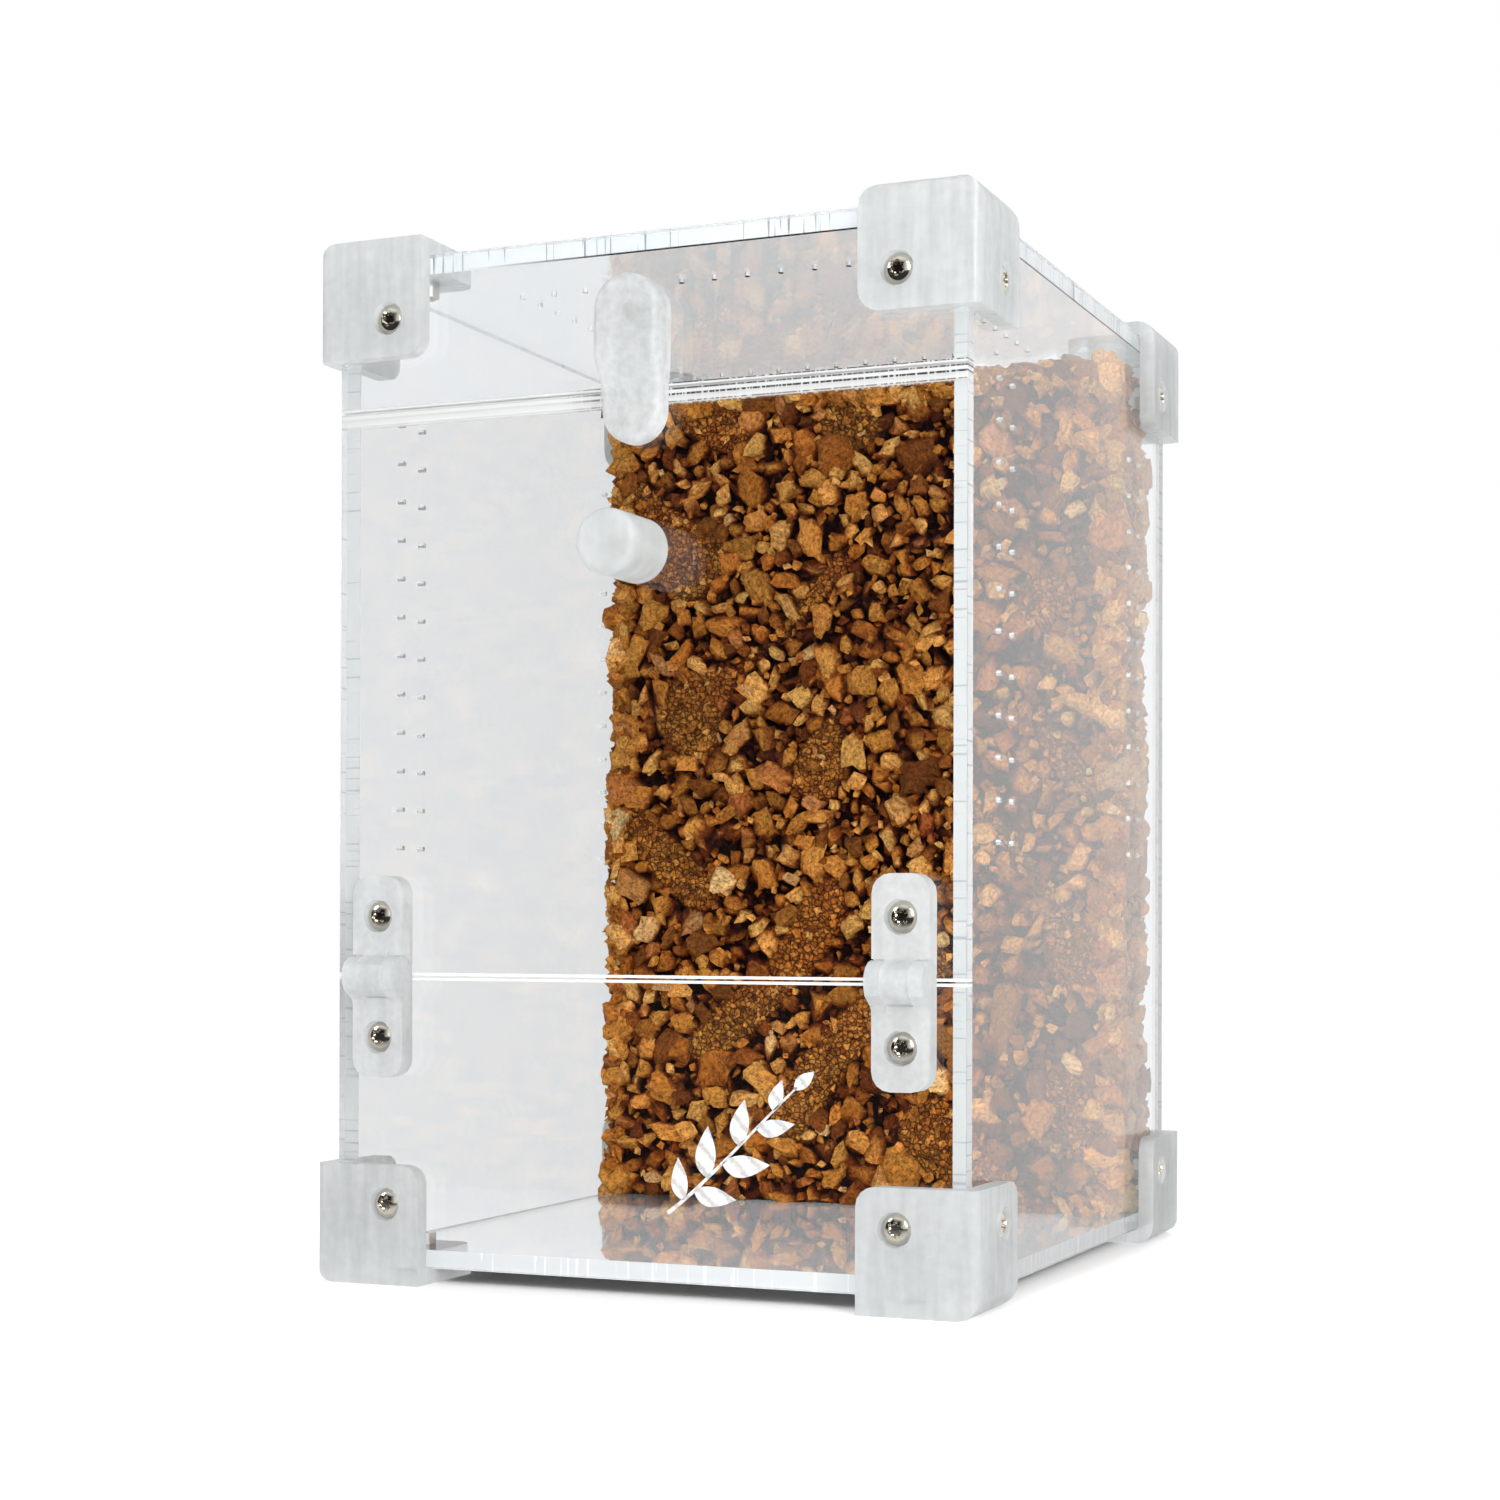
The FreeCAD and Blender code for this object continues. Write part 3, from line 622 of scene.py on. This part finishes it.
X_AT, Y_AT, Z_AT = (-81.0, 81.0), (-77.5, 94.5), (24.0, 288.0)   # the brackets' screws, mm
SIDE, BACK, FOOT, HEIGHT = 100.0, 113.5, 5.0, 307.0              # the sheets' outer faces
SEAT, LONG = 1.6, 10.0       # head above the sheet, length under the head
LEAF_SEAT, LEAF_LONG, LEAF_X = 2.65, 11.05, (-83.0, 83.0)        # the same on the hinges
made = 0
for side, sign in (("left", -1), ("right", 1)):
    places = [(sign * (SIDE + SEAT), y, z) for y in Y_AT for z in Z_AT]
    made += screws("bracket_screws_" + side, places, (sign, 0, 0), LONG, "box")
for side, y, sign in (("front", FRONT - SEAT, -1), ("back", BACK + SEAT, 1)):
    places = [(x, y, z) for x in X_AT for z in Z_AT]
    made += screws("bracket_screws_" + side, places, (0, sign, 0), LONG, "box")
for side, z, sign in (("floor", FOOT - SEAT, -1), ("top", HEIGHT + SEAT, 1)):
    places = [(x, y, z) for x in X_AT for y in Y_AT]
    made += screws("bracket_screws_" + side, places, (0, 0, sign), LONG, "box")
for side, z, body in (("door", 109.7, "door"), ("fixed", 73.7, "box")):
    places = [(x, FRONT - LEAF_SEAT, z) for x in LEAF_X]
    made += screws("hinge_screws_" + side, places, (0, -1, 0), LEAF_LONG, body)
print("screws", made)

# %% [markdown]
# The cork slab is pressed from broken bark. Its granules run from crumbs of some
# 2 mm to chunks of nearly 20 mm, angular, gold to red-brown, with nearly black
# gaps between them. The measured solid has the slab's coarse relief: a lattice
# of points, each sunk by up to 4.5 mm. The same formula is used here, so that
# the granules lie on that relief: the share that a point sinks is the fraction
# of 43758.5453 sin(12.9898 i + 78.233 j + 37.719 k). On top they stand 3.5 mm
# higher and twice as even, because the slab is sawn to height there.

# %% Relief of the cork
rng = np.random.default_rng(7)
CORK_LOW, CORK_HIGH = np.array((-94.6, 67.5, 10.0)), np.array((94.6, 103.5, 297.5))
CORK_CELLS = np.array((9, 2, 14))
CORK_RELIEF = 4.5        # mm
HASH, SPREAD = (12.9898, 78.233, 37.719), 43758.5453


def relief(axis, side, points):
    """How deep a face lies below the slab's box: the lattice, joined bilinearly."""
    if (axis, side) == (2, 0):
        return np.zeros(len(points))
    at = np.clip((points - CORK_LOW) / (CORK_HIGH - CORK_LOW) * CORK_CELLS, 0, CORK_CELLS - 1e-6)
    first = np.floor(at)
    part = at - first
    p, q = [k for k in range(3) if k != axis]
    depth = np.zeros(len(points))
    for i in (0, 1):
        for j in (0, 1):
            a = first + np.eye(3)[p] * i + np.eye(3)[q] * j
            a[:, axis] = CORK_CELLS[axis] * side
            value = np.sin(a @ HASH) * SPREAD % 1.0
            depth += np.abs(1 - i - part[:, p]) * np.abs(1 - j - part[:, q]) * value
    return CORK_RELIEF * depth * (0.5 if axis == 2 else 1.0)


def hold_inside(centres, reach):
    """Push each chip's centre in, until its reach stays within every face."""
    for axis in range(3):
        low = CORK_LOW[axis] + relief(axis, 0, centres) + reach
        high = CORK_HIGH[axis] - relief(axis, 1, centres) - reach
        centres[:, axis] = np.clip(centres[:, axis], low, high)
    return centres


# %% [markdown]
# A granule is a broken block. Its form is a box's grid of points d, and seven
# planes that face any way cut it: each point is drawn in by min(1, h / (d . n)),
# which gives flat faces and sharp arrises. A little chance in every point and a
# shear break the regular look. Crumbs have one square per side, granules two or
# three and the largest four. Most are longer than wide and thinner than both,
# and lie more or less on their flat side.

# %% Chips
PLANES = 7               # that cut each block
NEAR, FAR = 0.72, 1.2    # their distance h from its middle
FILL = 0.86              # what the cut block keeps of its size
SHEAR, TILT = 0.17, 0.5  # spread of the shear, and of the way the flat side faces


def hull(counts):
    """Points, 0 to 1, and squares of a box's six sides, gridded by counts."""
    points, quads = [], []
    for axis in range(3):
        p, q = (axis + 1) % 3, (axis + 2) % 3
        lines = [np.linspace(0, 1, counts[k] + 1) for k in (p, q)]
        a, b = (g.ravel() for g in np.meshgrid(*lines, indexing="ij"))
        cells = [np.arange(counts[k]) for k in (p, q)]
        i, j = (g.ravel() for g in np.meshgrid(*cells, indexing="ij"))
        corner = i * (counts[q] + 1) + j
        quad = np.stack([corner, corner + counts[q] + 1, corner + counts[q] + 2, corner + 1], 1)
        for side in (0, 1):
            sheet = np.empty((len(a), 3))
            sheet[:, axis], sheet[:, p], sheet[:, q] = side, a, b
            quads.append((quad if side else quad[:, ::-1]) + sum(len(piece) for piece in points))
            points.append(sheet)
    points = np.concatenate(points)
    _, first, same = np.unique(points.round(6), axis=0, return_index=True, return_inverse=True)
    return points[first], same.reshape(-1)[np.concatenate(quads)]


def halves(quads):
    """Each square as two triangles."""
    return np.concatenate([quads[:, :3], quads[:, [0, 2, 3]]])


def unit(v):
    """Vectors of the same directions, of length 1."""
    return v / np.linalg.norm(v, axis=-1, keepdims=True)


def chips(centres, sizes, out, n):
    """Points, triangles and own coordinates of many chips: a box's points d,
    each drawn in by min(1, h / (d . n))."""
    d, faces = hull((n, n, n))
    d, faces, count = 2 * d - 1, halves(faces), len(centres)
    planes = unit(rng.normal(size=(count, PLANES, 3)))
    h = rng.uniform(NEAR, FAR, (count, PLANES))
    facing = np.einsum("vk,cpk->cvp", d, planes)
    r = np.min(np.where(facing > 0.1, h[:, None, :] / np.maximum(facing, 0.1), 1.0), axis=2)
    jitter = 0.14 if n > 1 else 0.2
    chance = rng.uniform(1 - jitter, 1 + jitter, (count, len(d), 1))
    own = FILL * d[None] * np.minimum(r, 1.0)[..., None] * chance
    shear = np.eye(3) + rng.normal(0, SHEAR, (count, 3, 3))
    own = np.einsum("cvk,ckx->cvx", own, shear) * sizes[:, None, :]
    w = unit(np.array(out) + rng.normal(0, TILT, (count, 3)))
    u = unit(np.cross(w, rng.normal(size=(count, 3))))
    axes = np.stack([u, np.cross(w, u), w], 1)
    points = np.einsum("cvk,ckx->cvx", own, axes) + centres[:, None, :]
    offset = (np.arange(count) * len(d))[:, None, None]
    return points.reshape(-1, 3), (faces[None] + offset).reshape(-1, 3), own.reshape(-1, 3), len(d)


# %% [markdown]
# The granules are strewn by size: discs are thrown on a face, the largest
# first, and a disc stays where it finds room. In patches only crumbs stay, as
# where the press ran out of coarse bark. A layer of crumbs fills the joints,
# and a deeper one of chips lets a gap show dark bark and not a hole. Each
# layer lists its radii in mm, and how many discs of each are thrown.

# %% Strewing
CHUNKS = ((7.4, 20), (6.2, 70), (5.2, 260), (4.3, 800),
          (3.5, 2400), (2.8, 4500), (2.1, 4200), (1.5, 4500))
CRUMBS = ((2.8, 900), (2.0, 3000), (1.4, 4000))
DEEPER = ((4.0, 300), (3.0, 1200))
ROOM = 0.75              # share of two radii that neighbours keep apart
CRUMB = 2.0              # the largest radius in a patch of crumbs, mm
PATCH = 0.55             # height of the slow wave above which a patch begins


def patchy(x, y, turn):
    """A slow wave of both coordinates: above PATCH only crumbs lie."""
    first = np.sin(x / 15 + 1.7 * np.sin(y / 21) + turn)
    return first * np.sin(y / 17 + 1.9 * np.sin(x / 26) - turn)


def strew(width, height, radii, turn):
    """Centres and radii of the discs that found room on a face."""
    kept, grid, cell = [], {}, 2 * ROOM * radii[0][0]
    for r, tries in radii:
        room = ROOM if r > CRUMB else 0.9 * ROOM
        spots = rng.uniform((0, 0), (width, height), (tries, 2))
        if r > CRUMB:
            spots = spots[patchy(spots[:, 0], spots[:, 1], turn) < PATCH]
        for x, y in spots.tolist():
            i, j = int(x / cell), int(y / cell)
            near = [q for a in (-1, 0, 1) for b in (-1, 0, 1) for q in grid.get((i + a, j + b), ())]
            if all((x - q[0]) ** 2 + (y - q[1]) ** 2 > (room * (r + q[2])) ** 2 for q in near):
                grid.setdefault((i, j), []).append((x, y, r))
                kept.append((x, y, r))
    return np.array(kept)


# %% [markdown]
# Cork is dead bark: light, dry and matt. A freshly broken face is gold to tan
# with faint growth layers and dark pores, and an old one is red-brown. Each
# chip has a tone and a slight cast, warm or cool, and the layers follow the
# chip's own coordinates, 1.2 mm apart. A chip is darkened by its depth below
# the face: painted shade, for the little light that reaches there, warmer the
# deeper it lies. Behind the front face the sides and the top are dulled towards
# a plain brown: painted shade, for the light that the sheets close to them take
# away. The joints between the crumbs' cells are darkened: painted shade too.

# %% Cork finish
TONES = ((0.0, "#4B2105"), (0.14, "#733F12"), (0.34, "#9A5F20"), (0.58, "#B97B33"),
         (0.80, "#D39F57"), (0.90, "#965226"), (1.0, "#E3C083"))
DEPTH = 7.0              # mm below the face at which the depth attribute reads 1
DEPTH_SHADE = ((0.0, "#FFFFFF"), (0.10, "#F8F0E8"), (0.26, "#A07A50"),    # painted shade: light left at a depth
        (0.42, "#42200A"), (0.60, "#120401"))
CELL, LAYER, PORE = 1.9 * MM, 1.2 * MM, 0.9 * MM


def cork(name, crumbs=False):
    """Cork bark: chips take their tone from an attribute, crumbs from small cells; depth and the
    cells' joints add painted shade.
    """
    material, tree = new_material(name)
    told = add(tree, "Attribute", attribute_name="grain")
    part = add(tree, "SeparateXYZ", links={0: told.outputs["Vector"]})
    own = add(tree, "Attribute", attribute_name="own_place").outputs["Vector"]
    tone = part.outputs["X"]
    if crumbs:
        cell = add(tree, "TexVoronoi", {"Scale": 1.0 / CELL}, {"Vector": own})
        between = add(tree, "TexVoronoi", {"Scale": 1.0 / CELL}, {"Vector": own},
            feature="DISTANCE_TO_EDGE")
        tone = add(tree, "SeparateXYZ", links={0: cell.outputs["Color"]}).outputs["X"]
        tone = add(tree, "MapRange", {"To Min": 0.16, "To Max": 0.66}, {"Value": tone})
        # Painted shade in the joints between the crumbs' cells.
        joint_shade = add(tree, "MapRange", {"From Max": 0.16, "To Min": 0.15},
            {"Value": between.outputs["Distance"]})
    ramps = []
    for stops, source in ((TONES, tone), (DEPTH_SHADE, part.outputs["Z"])):
        ramp = add(tree, "ValToRGB", links={"Fac": source})
        set_stops(ramp, stops)
        ramps.append(ramp.outputs["Color"])
    # Painted side shade: behind the front face the sides and the top are mixed towards a plain
    # brown.
    side_shade = add(tree, "MixRGB", {"Color2": linear("#94765C")},
        {"Fac": part.outputs["Y"], "Color1": ramps[0]})
    age = add(tree, "TexNoise", {"Scale": 1.0 / (30 * MM), "Detail": 0.0}, {"Vector": own})
    aged = add(tree, "MapRange", {"From Min": 0.35, "From Max": 0.65}, {"Value": age})
    cast = add(tree, "MixRGB", {"Color1": linear("#FFEFE2"), "Color2": linear("#F1F9FA")},
        {"Fac": aged})
    layered = add(tree, "Mapping", {"Scale": (0.6, 0.85, 1.0)}, {"Vector": own})
    layers = add(tree, "TexNoise", {"Scale": 1.0 / LAYER, "Detail": 3.0, "Roughness": 0.6},
        {"Vector": layered})
    shade = add(tree, "MapRange",
        {"From Min": 0.34, "From Max": 0.66, "To Min": 0.54, "To Max": 1.42}, {"Value": layers})
    pores = add(tree, "TexNoise", {"Scale": 1.0 / PORE, "Detail": 4.0, "Roughness": 0.7},
        {"Vector": own})
    pitted = add(tree, "MapRange",
        {"From Min": 0.36, "From Max": 0.48, "To Min": 0.32, "To Max": 1.04}, {"Value": pores})
    share = add(tree, "Math", links={0: shade, 1: pitted}, operation="MULTIPLY")
    rough = add(tree, "Math", links={0: layers, 1: pores}, operation="ADD")
    if crumbs:
        share = add(tree, "Math", links={0: share, 1: joint_shade}, operation="MULTIPLY")
        rough = add(tree, "Math", links={0: rough, 1: joint_shade}, operation="ADD")
    bright = add(tree, "VectorMath", links={0: side_shade, "Scale": share}, operation="SCALE")
    # Painted shade: the depth ramp darkens what lies below the face.
    toned = add(tree, "VectorMath", links={0: bright, 1: ramps[1]}, operation="MULTIPLY")
    toned = add(tree, "VectorMath", links={0: toned, 1: cast}, operation="MULTIPLY")
    bump = add(tree, "Bump", {"Strength": 1.0, "Distance": 0.8 * MM}, {"Height": rough})
    grain = add(tree, "BsdfPrincipled", {"Roughness": 0.75, "IOR": 1.4, "Specular IOR Level": 0.25},
                {"Base Color": toned.outputs["Vector"], "Normal": bump})
    add(tree, "OutputMaterial", links={"Surface": grain})
    return material


cork_chip = cork("pressed_cork_granules")
cork_crumb = cork("pressed_cork_crumbs", crumbs=True)
print("cork finishes", cork_chip.name, cork_crumb.name)

# %% [markdown]
# Five faces of the slab are strewn; it stands on the sixth. Each face is one
# piece of three layers. A chip lies at its face's relief, sunk by part of its
# own thickness and by chance, stays clear of the nuts in the slab's notches, and
# carries its tone, its depth and its place in its own frame as attributes.

# %% Cork faces
FACES = ((0, 0), (0, 1), (1, 0), (1, 1), (2, 1))   # axis and side; the slab stands on the sixth
NUTS = np.array([(x, Y_AT[1], z) for x in (-93.0, 93.0) for z in Z_AT]
                + [(x, Y_AT[1], z) for x in X_AT for z in (11.0, 299.0)])
NUT_ROOM = 5.5           # mm that a chip's rim keeps from a nut's middle
SPARE = 2.0              # mm that a chip may stand proud of the slab's box
SHADED_SIDES = (4.0, 6.0)        # mm behind the front face: where the painted side shade starts, over how much
APART = 500.0            # mm: chips lie at random up to this far out in the patterns
LAYERS = ((CHUNKS, 0.0), (CRUMBS, 1.6), (DEEPER, 3.0))   # and how far each is sunk, mm
LEAST, MOST = (0.95, 0.82, 0.65), (1.25, 1.08, 0.95)     # length, width, thickness by radius
FINE, FINE_BELOW = 1.9, 2.5   # radii up to which a chip has one square per side, mm


def depth_of(points):
    """How far points lie below the nearest face, less that face's relief."""
    below = [(CORK_HIGH[k] - points[:, k] if side else points[:, k] - CORK_LOW[k])
             - relief(k, side, points) for k, side in FACES]
    return np.min(below, axis=0)


def write_grain(piece, tone, side_shade, depth, own):
    """Store each point's tone, its share of painted side shade and its depth, which paints shade,
    and its place in its chip.
    """
    grain = np.stack([tone, side_shade, np.clip(depth / DEPTH, 0, 1)], 1)
    for title, values in (("grain", grain), ("own_place", own)):
        layer = piece.data.attributes.new(title, "FLOAT_VECTOR", "POINT")
        layer.data.foreach_set("vector", values.astype(float).ravel())


def cork_face(name, along, up, axis, side, side_shade=0.0):
    """Chips strewn over one face of the slab, in three layers, merged into one piece."""
    size = CORK_HIGH - CORK_LOW
    out = np.eye(3)[axis] * (1 if side else -1)
    points, faces, own, tones, total = [], [], [], [], 0
    for radii, sunk in LAYERS:
        x, y, r = strew(size[along], size[up], radii, axis + 2.0 * side + sunk).T
        centres = np.empty((len(r), 3))
        centres[:, along], centres[:, up] = CORK_LOW[along] + x, CORK_LOW[up] + y
        centres[:, axis] = (CORK_HIGH if side else CORK_LOW)[axis]
        scale = rng.uniform(LEAST, MOST, (len(r), 3)) * r[:, None]
        level = relief(axis, side, centres) + scale[:, 2] * rng.uniform(0.35, 0.95, len(r))
        level = level + rng.exponential(np.where(r > CRUMB, 0.9, 1.1)) + sunk
        centres -= out * level[:, None]
        centres = hold_inside(centres, scale[:, 2] * 0.5)
        clear = np.linalg.norm(centres[:, None] - NUTS[None], axis=2).min(1) > NUT_ROOM + r
        fine = FINE if sunk == 0 else FINE_BELOW
        kinds = ((4, r > 5), (3, (r <= 5) & (r > 4)), (2, (r <= 4) & (r > fine)), (1, r <= fine))
        for n, chosen in kinds:
            chosen = chosen & clear
            p, f, o, each = chips(centres[chosen], scale[chosen], out, n)
            count = int(chosen.sum())
            tones.append(np.repeat(rng.beta(1.7, 1.7, count), each))
            own.append(o + np.repeat(rng.uniform(-APART, APART, (count, 3)), each, axis=0))
            points.append(p)
            faces.append(f + total)
            total += len(p)
    points = np.concatenate(points)
    depth = depth_of(points)
    points = np.clip(points, CORK_LOW - (0, SPARE, 0), CORK_HIGH + (0, SPARE, SPARE))
    made = surface(name, points * MM, np.concatenate(faces), cork_chip, "box", smooth=False,
        slot="cork")
    # The painted side shade grows over 6 mm, starting 4 mm behind the front face.
    side_shade = side_shade * np.clip(points[:, 1] - CORK_LOW[1] - SHADED_SIDES[0], 0, SHADED_SIDES[1]) / SHADED_SIDES[1]
    write_grain(made, np.concatenate(tones), side_shade, depth, np.concatenate(own) * MM)
    print(name, sum(len(f) for f in faces), "triangles")


cork_face("cork_front_grains", 0, 2, 1, 0)
# Right, left and top take half the painted side shade.
cork_face("cork_right_grains", 1, 2, 0, 1, side_shade=0.5)
cork_face("cork_left_grains", 1, 2, 0, 0, side_shade=0.5)
cork_face("cork_top_grains", 0, 1, 2, 1, side_shade=0.5)
cork_face("cork_back_grains", 0, 2, 1, 1)

# %% [markdown]
# Between the granules lies a crust of crumbs, some 3.6 mm below the face
# and nearly level with it in the patches where only crumbs lie. It is one
# closed surface over the whole slab: a box's grid, 1.6 mm between its points,
# each sunk below every face by relief + 3.6 - 2.8 lift + a random share.

# %% Cork crust
CRUST = (3.6, 2.8, 0.6)  # mm below the face, lift in the patches, random share
CRUST_GRID = 1.6         # mm between its points
LIFT = (0.45, 0.2)       # of the slow wave: where the lift starts, over how much
counts = np.round((CORK_HIGH - CORK_LOW) / CRUST_GRID).astype(int)
points, quads = hull(counts)
points = CORK_LOW + points * (CORK_HIGH - CORK_LOW)
uneven = rng.uniform(-CRUST[2], CRUST[2], len(points))
for axis, side in FACES:
    along, up = (k for k in range(3) if k != axis)
    patch = patchy(points[:, along] - CORK_LOW[along], points[:, up] - CORK_LOW[up],
        axis + 2.0 * side)
    lift = np.clip((patch - LIFT[0]) / LIFT[1], 0, 1)
    depth = relief(axis, side, points) + CRUST[0] - CRUST[1] * lift + uneven
    if side:
        points[:, axis] = np.minimum(points[:, axis], CORK_HIGH[axis] - depth)
    else:
        points[:, axis] = np.maximum(points[:, axis], CORK_LOW[axis] + depth)
core = surface("cork_core", points * MM, halves(quads), cork_crumb, "box", smooth=False,
    slot="cork")
write_grain(core, np.full(len(points), 0.5), np.zeros(len(points)), depth_of(points), points * MM)
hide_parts("cork_slab")
print("cork core", 2 * len(quads), "triangles")

# %% [markdown]
# The lower front sheet carries a small engraving: a sprig of leaves, frosted
# into the acrylic by the laser in fine lines. Each leaf is a flat surface of
# two parameters, s along its rib and q across it: its half width is
# W sin(pi s^0.8), and its rib bends by a fifth of its length. A skin of 0.06 mm
# is enough, because the eye reads only the frosted face.

# %% Engraved sprig
engraved, tree = new_material("laser_engraved_frost")
spot = add(tree, "TexCoord").outputs["Object"]
lines = add(tree, "TexWave", {"Scale": 0.05 / (0.5 * MM), "Distortion": 1.5, "Detail": 2.0},
    {"Vector": spot},
    bands_direction="DIAGONAL")
fleck = add(tree, "TexNoise", {"Scale": 1.0 / (0.8 * MM), "Detail": 3.0}, {"Vector": spot})
cover = add(tree, "Math", links={0: lines.outputs["Fac"], 1: fleck}, operation="ADD")
cover = add(tree, "MapRange", {"From Min": 0.55, "From Max": 1.0, "To Min": 0.45, "To Max": 0.92},
    {"Value": cover})
frost = add(tree, "BsdfPrincipled", {"Base Color": linear("#D2D4D5"), "Roughness": 0.6})
clear = add(tree, "BsdfTransparent", {"Color": WHITE})
both = add(tree, "MixShader", links={0: cover, 1: clear, 2: frost})
add(tree, "OutputMaterial", links={"Surface": both})
STEM = ((10.0, 25.0), (20.0, 32.0), (32.0, 45.0), (50.0, 62.0))   # bending points, x and z, mm
LEAVES = (               # place on the stem, length, half width, angle to the stem
    (0.16, 12.0, 2.6, 70), (0.26, 13.0, 2.9, -62), (0.38, 14.5, 3.2, 58), (0.50, 14.5, 3.2, -55),
    (0.63, 13.0, 2.9, 50), (0.75, 11.5, 2.5, -48), (0.86, 9.0, 2.1, 40), (0.985, 8.0, 1.9, 0),
)
SKIN = 0.06 * MM         # thickness of the frosted skin


def stem_at(t):
    """Point of a cubic Bezier line through the four bending points, and its direction."""
    a, b, c, d = (np.array(q) for q in STEM)
    point = (1 - t) ** 3 * a + 3 * (1 - t) ** 2 * t * b + 3 * (1 - t) * t ** 2 * c + t ** 3 * d
    slope = (1 - t) ** 2 * (b - a) + 2 * (1 - t) * t * (c - b) + t ** 2 * (d - c)
    return point, slope / np.linalg.norm(slope)


def strip(centre, half, side):
    """Faces of a ribbon: rows of points at centre + q half side for q = -1, 0, 1."""
    q = np.array((-1.0, 0.0, 1.0))
    flat = centre[:, None] + q[None, :, None] * half[:, None, None] * side[:, None]
    points = np.insert(flat.reshape(-1, 2), 1, FRONT - 0.01, axis=1)
    i = np.arange(len(centre) - 1)[:, None] * 3 + np.array((0, 1))
    return points, np.stack([i, i + 1, i + 4, i + 3], -1).reshape(-1, 4)


s = np.linspace(0.0, 1.0, 15)
t = np.linspace(0.0, 1.0, 25)
line, slopes = (np.array(v) for v in zip(*(stem_at(v) for v in t)))
ribbons = [strip(line, 0.55 - 0.25 * t, np.stack([-slopes[:, 1], slopes[:, 0]], 1))]
for where, long, wide, angle in LEAVES:
    foot, slope = stem_at(where)
    turn = math.radians(angle)
    d = np.array((slope[0] * math.cos(turn) - slope[1] * math.sin(turn),
                  slope[0] * math.sin(turn) + slope[1] * math.cos(turn)))
    n = np.array((-d[1], d[0]))
    bend = -math.copysign(0.2 if angle else 0.05, angle) * long * s ** 2
    rib = foot + s[:, None] * long * d + bend[:, None] * n
    ribbons.append(strip(rib, 0.05 + wide * np.sin(np.pi * s ** 0.8),
        np.repeat(n[None], len(s), 0)))
points, faces = [], []
for p, f in ribbons:
    faces.append(f + sum(len(q) for q in points))
    points.append(p)
sprig = surface("engraved_sprig", np.concatenate(points) * MM, np.concatenate(faces), engraved,
    "box", smooth=False, slot="clear_acrylic")
skin = sprig.modifiers.new("skin", "SOLIDIFY")
skin.thickness, skin.offset = SKIN, 1.0
print("sprig leaves", len(LEAVES))

# %% Sizes and finish
low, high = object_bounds()
print("visual, mm", [round((b - a) / MM, 1) for a, b in zip(low, high)])
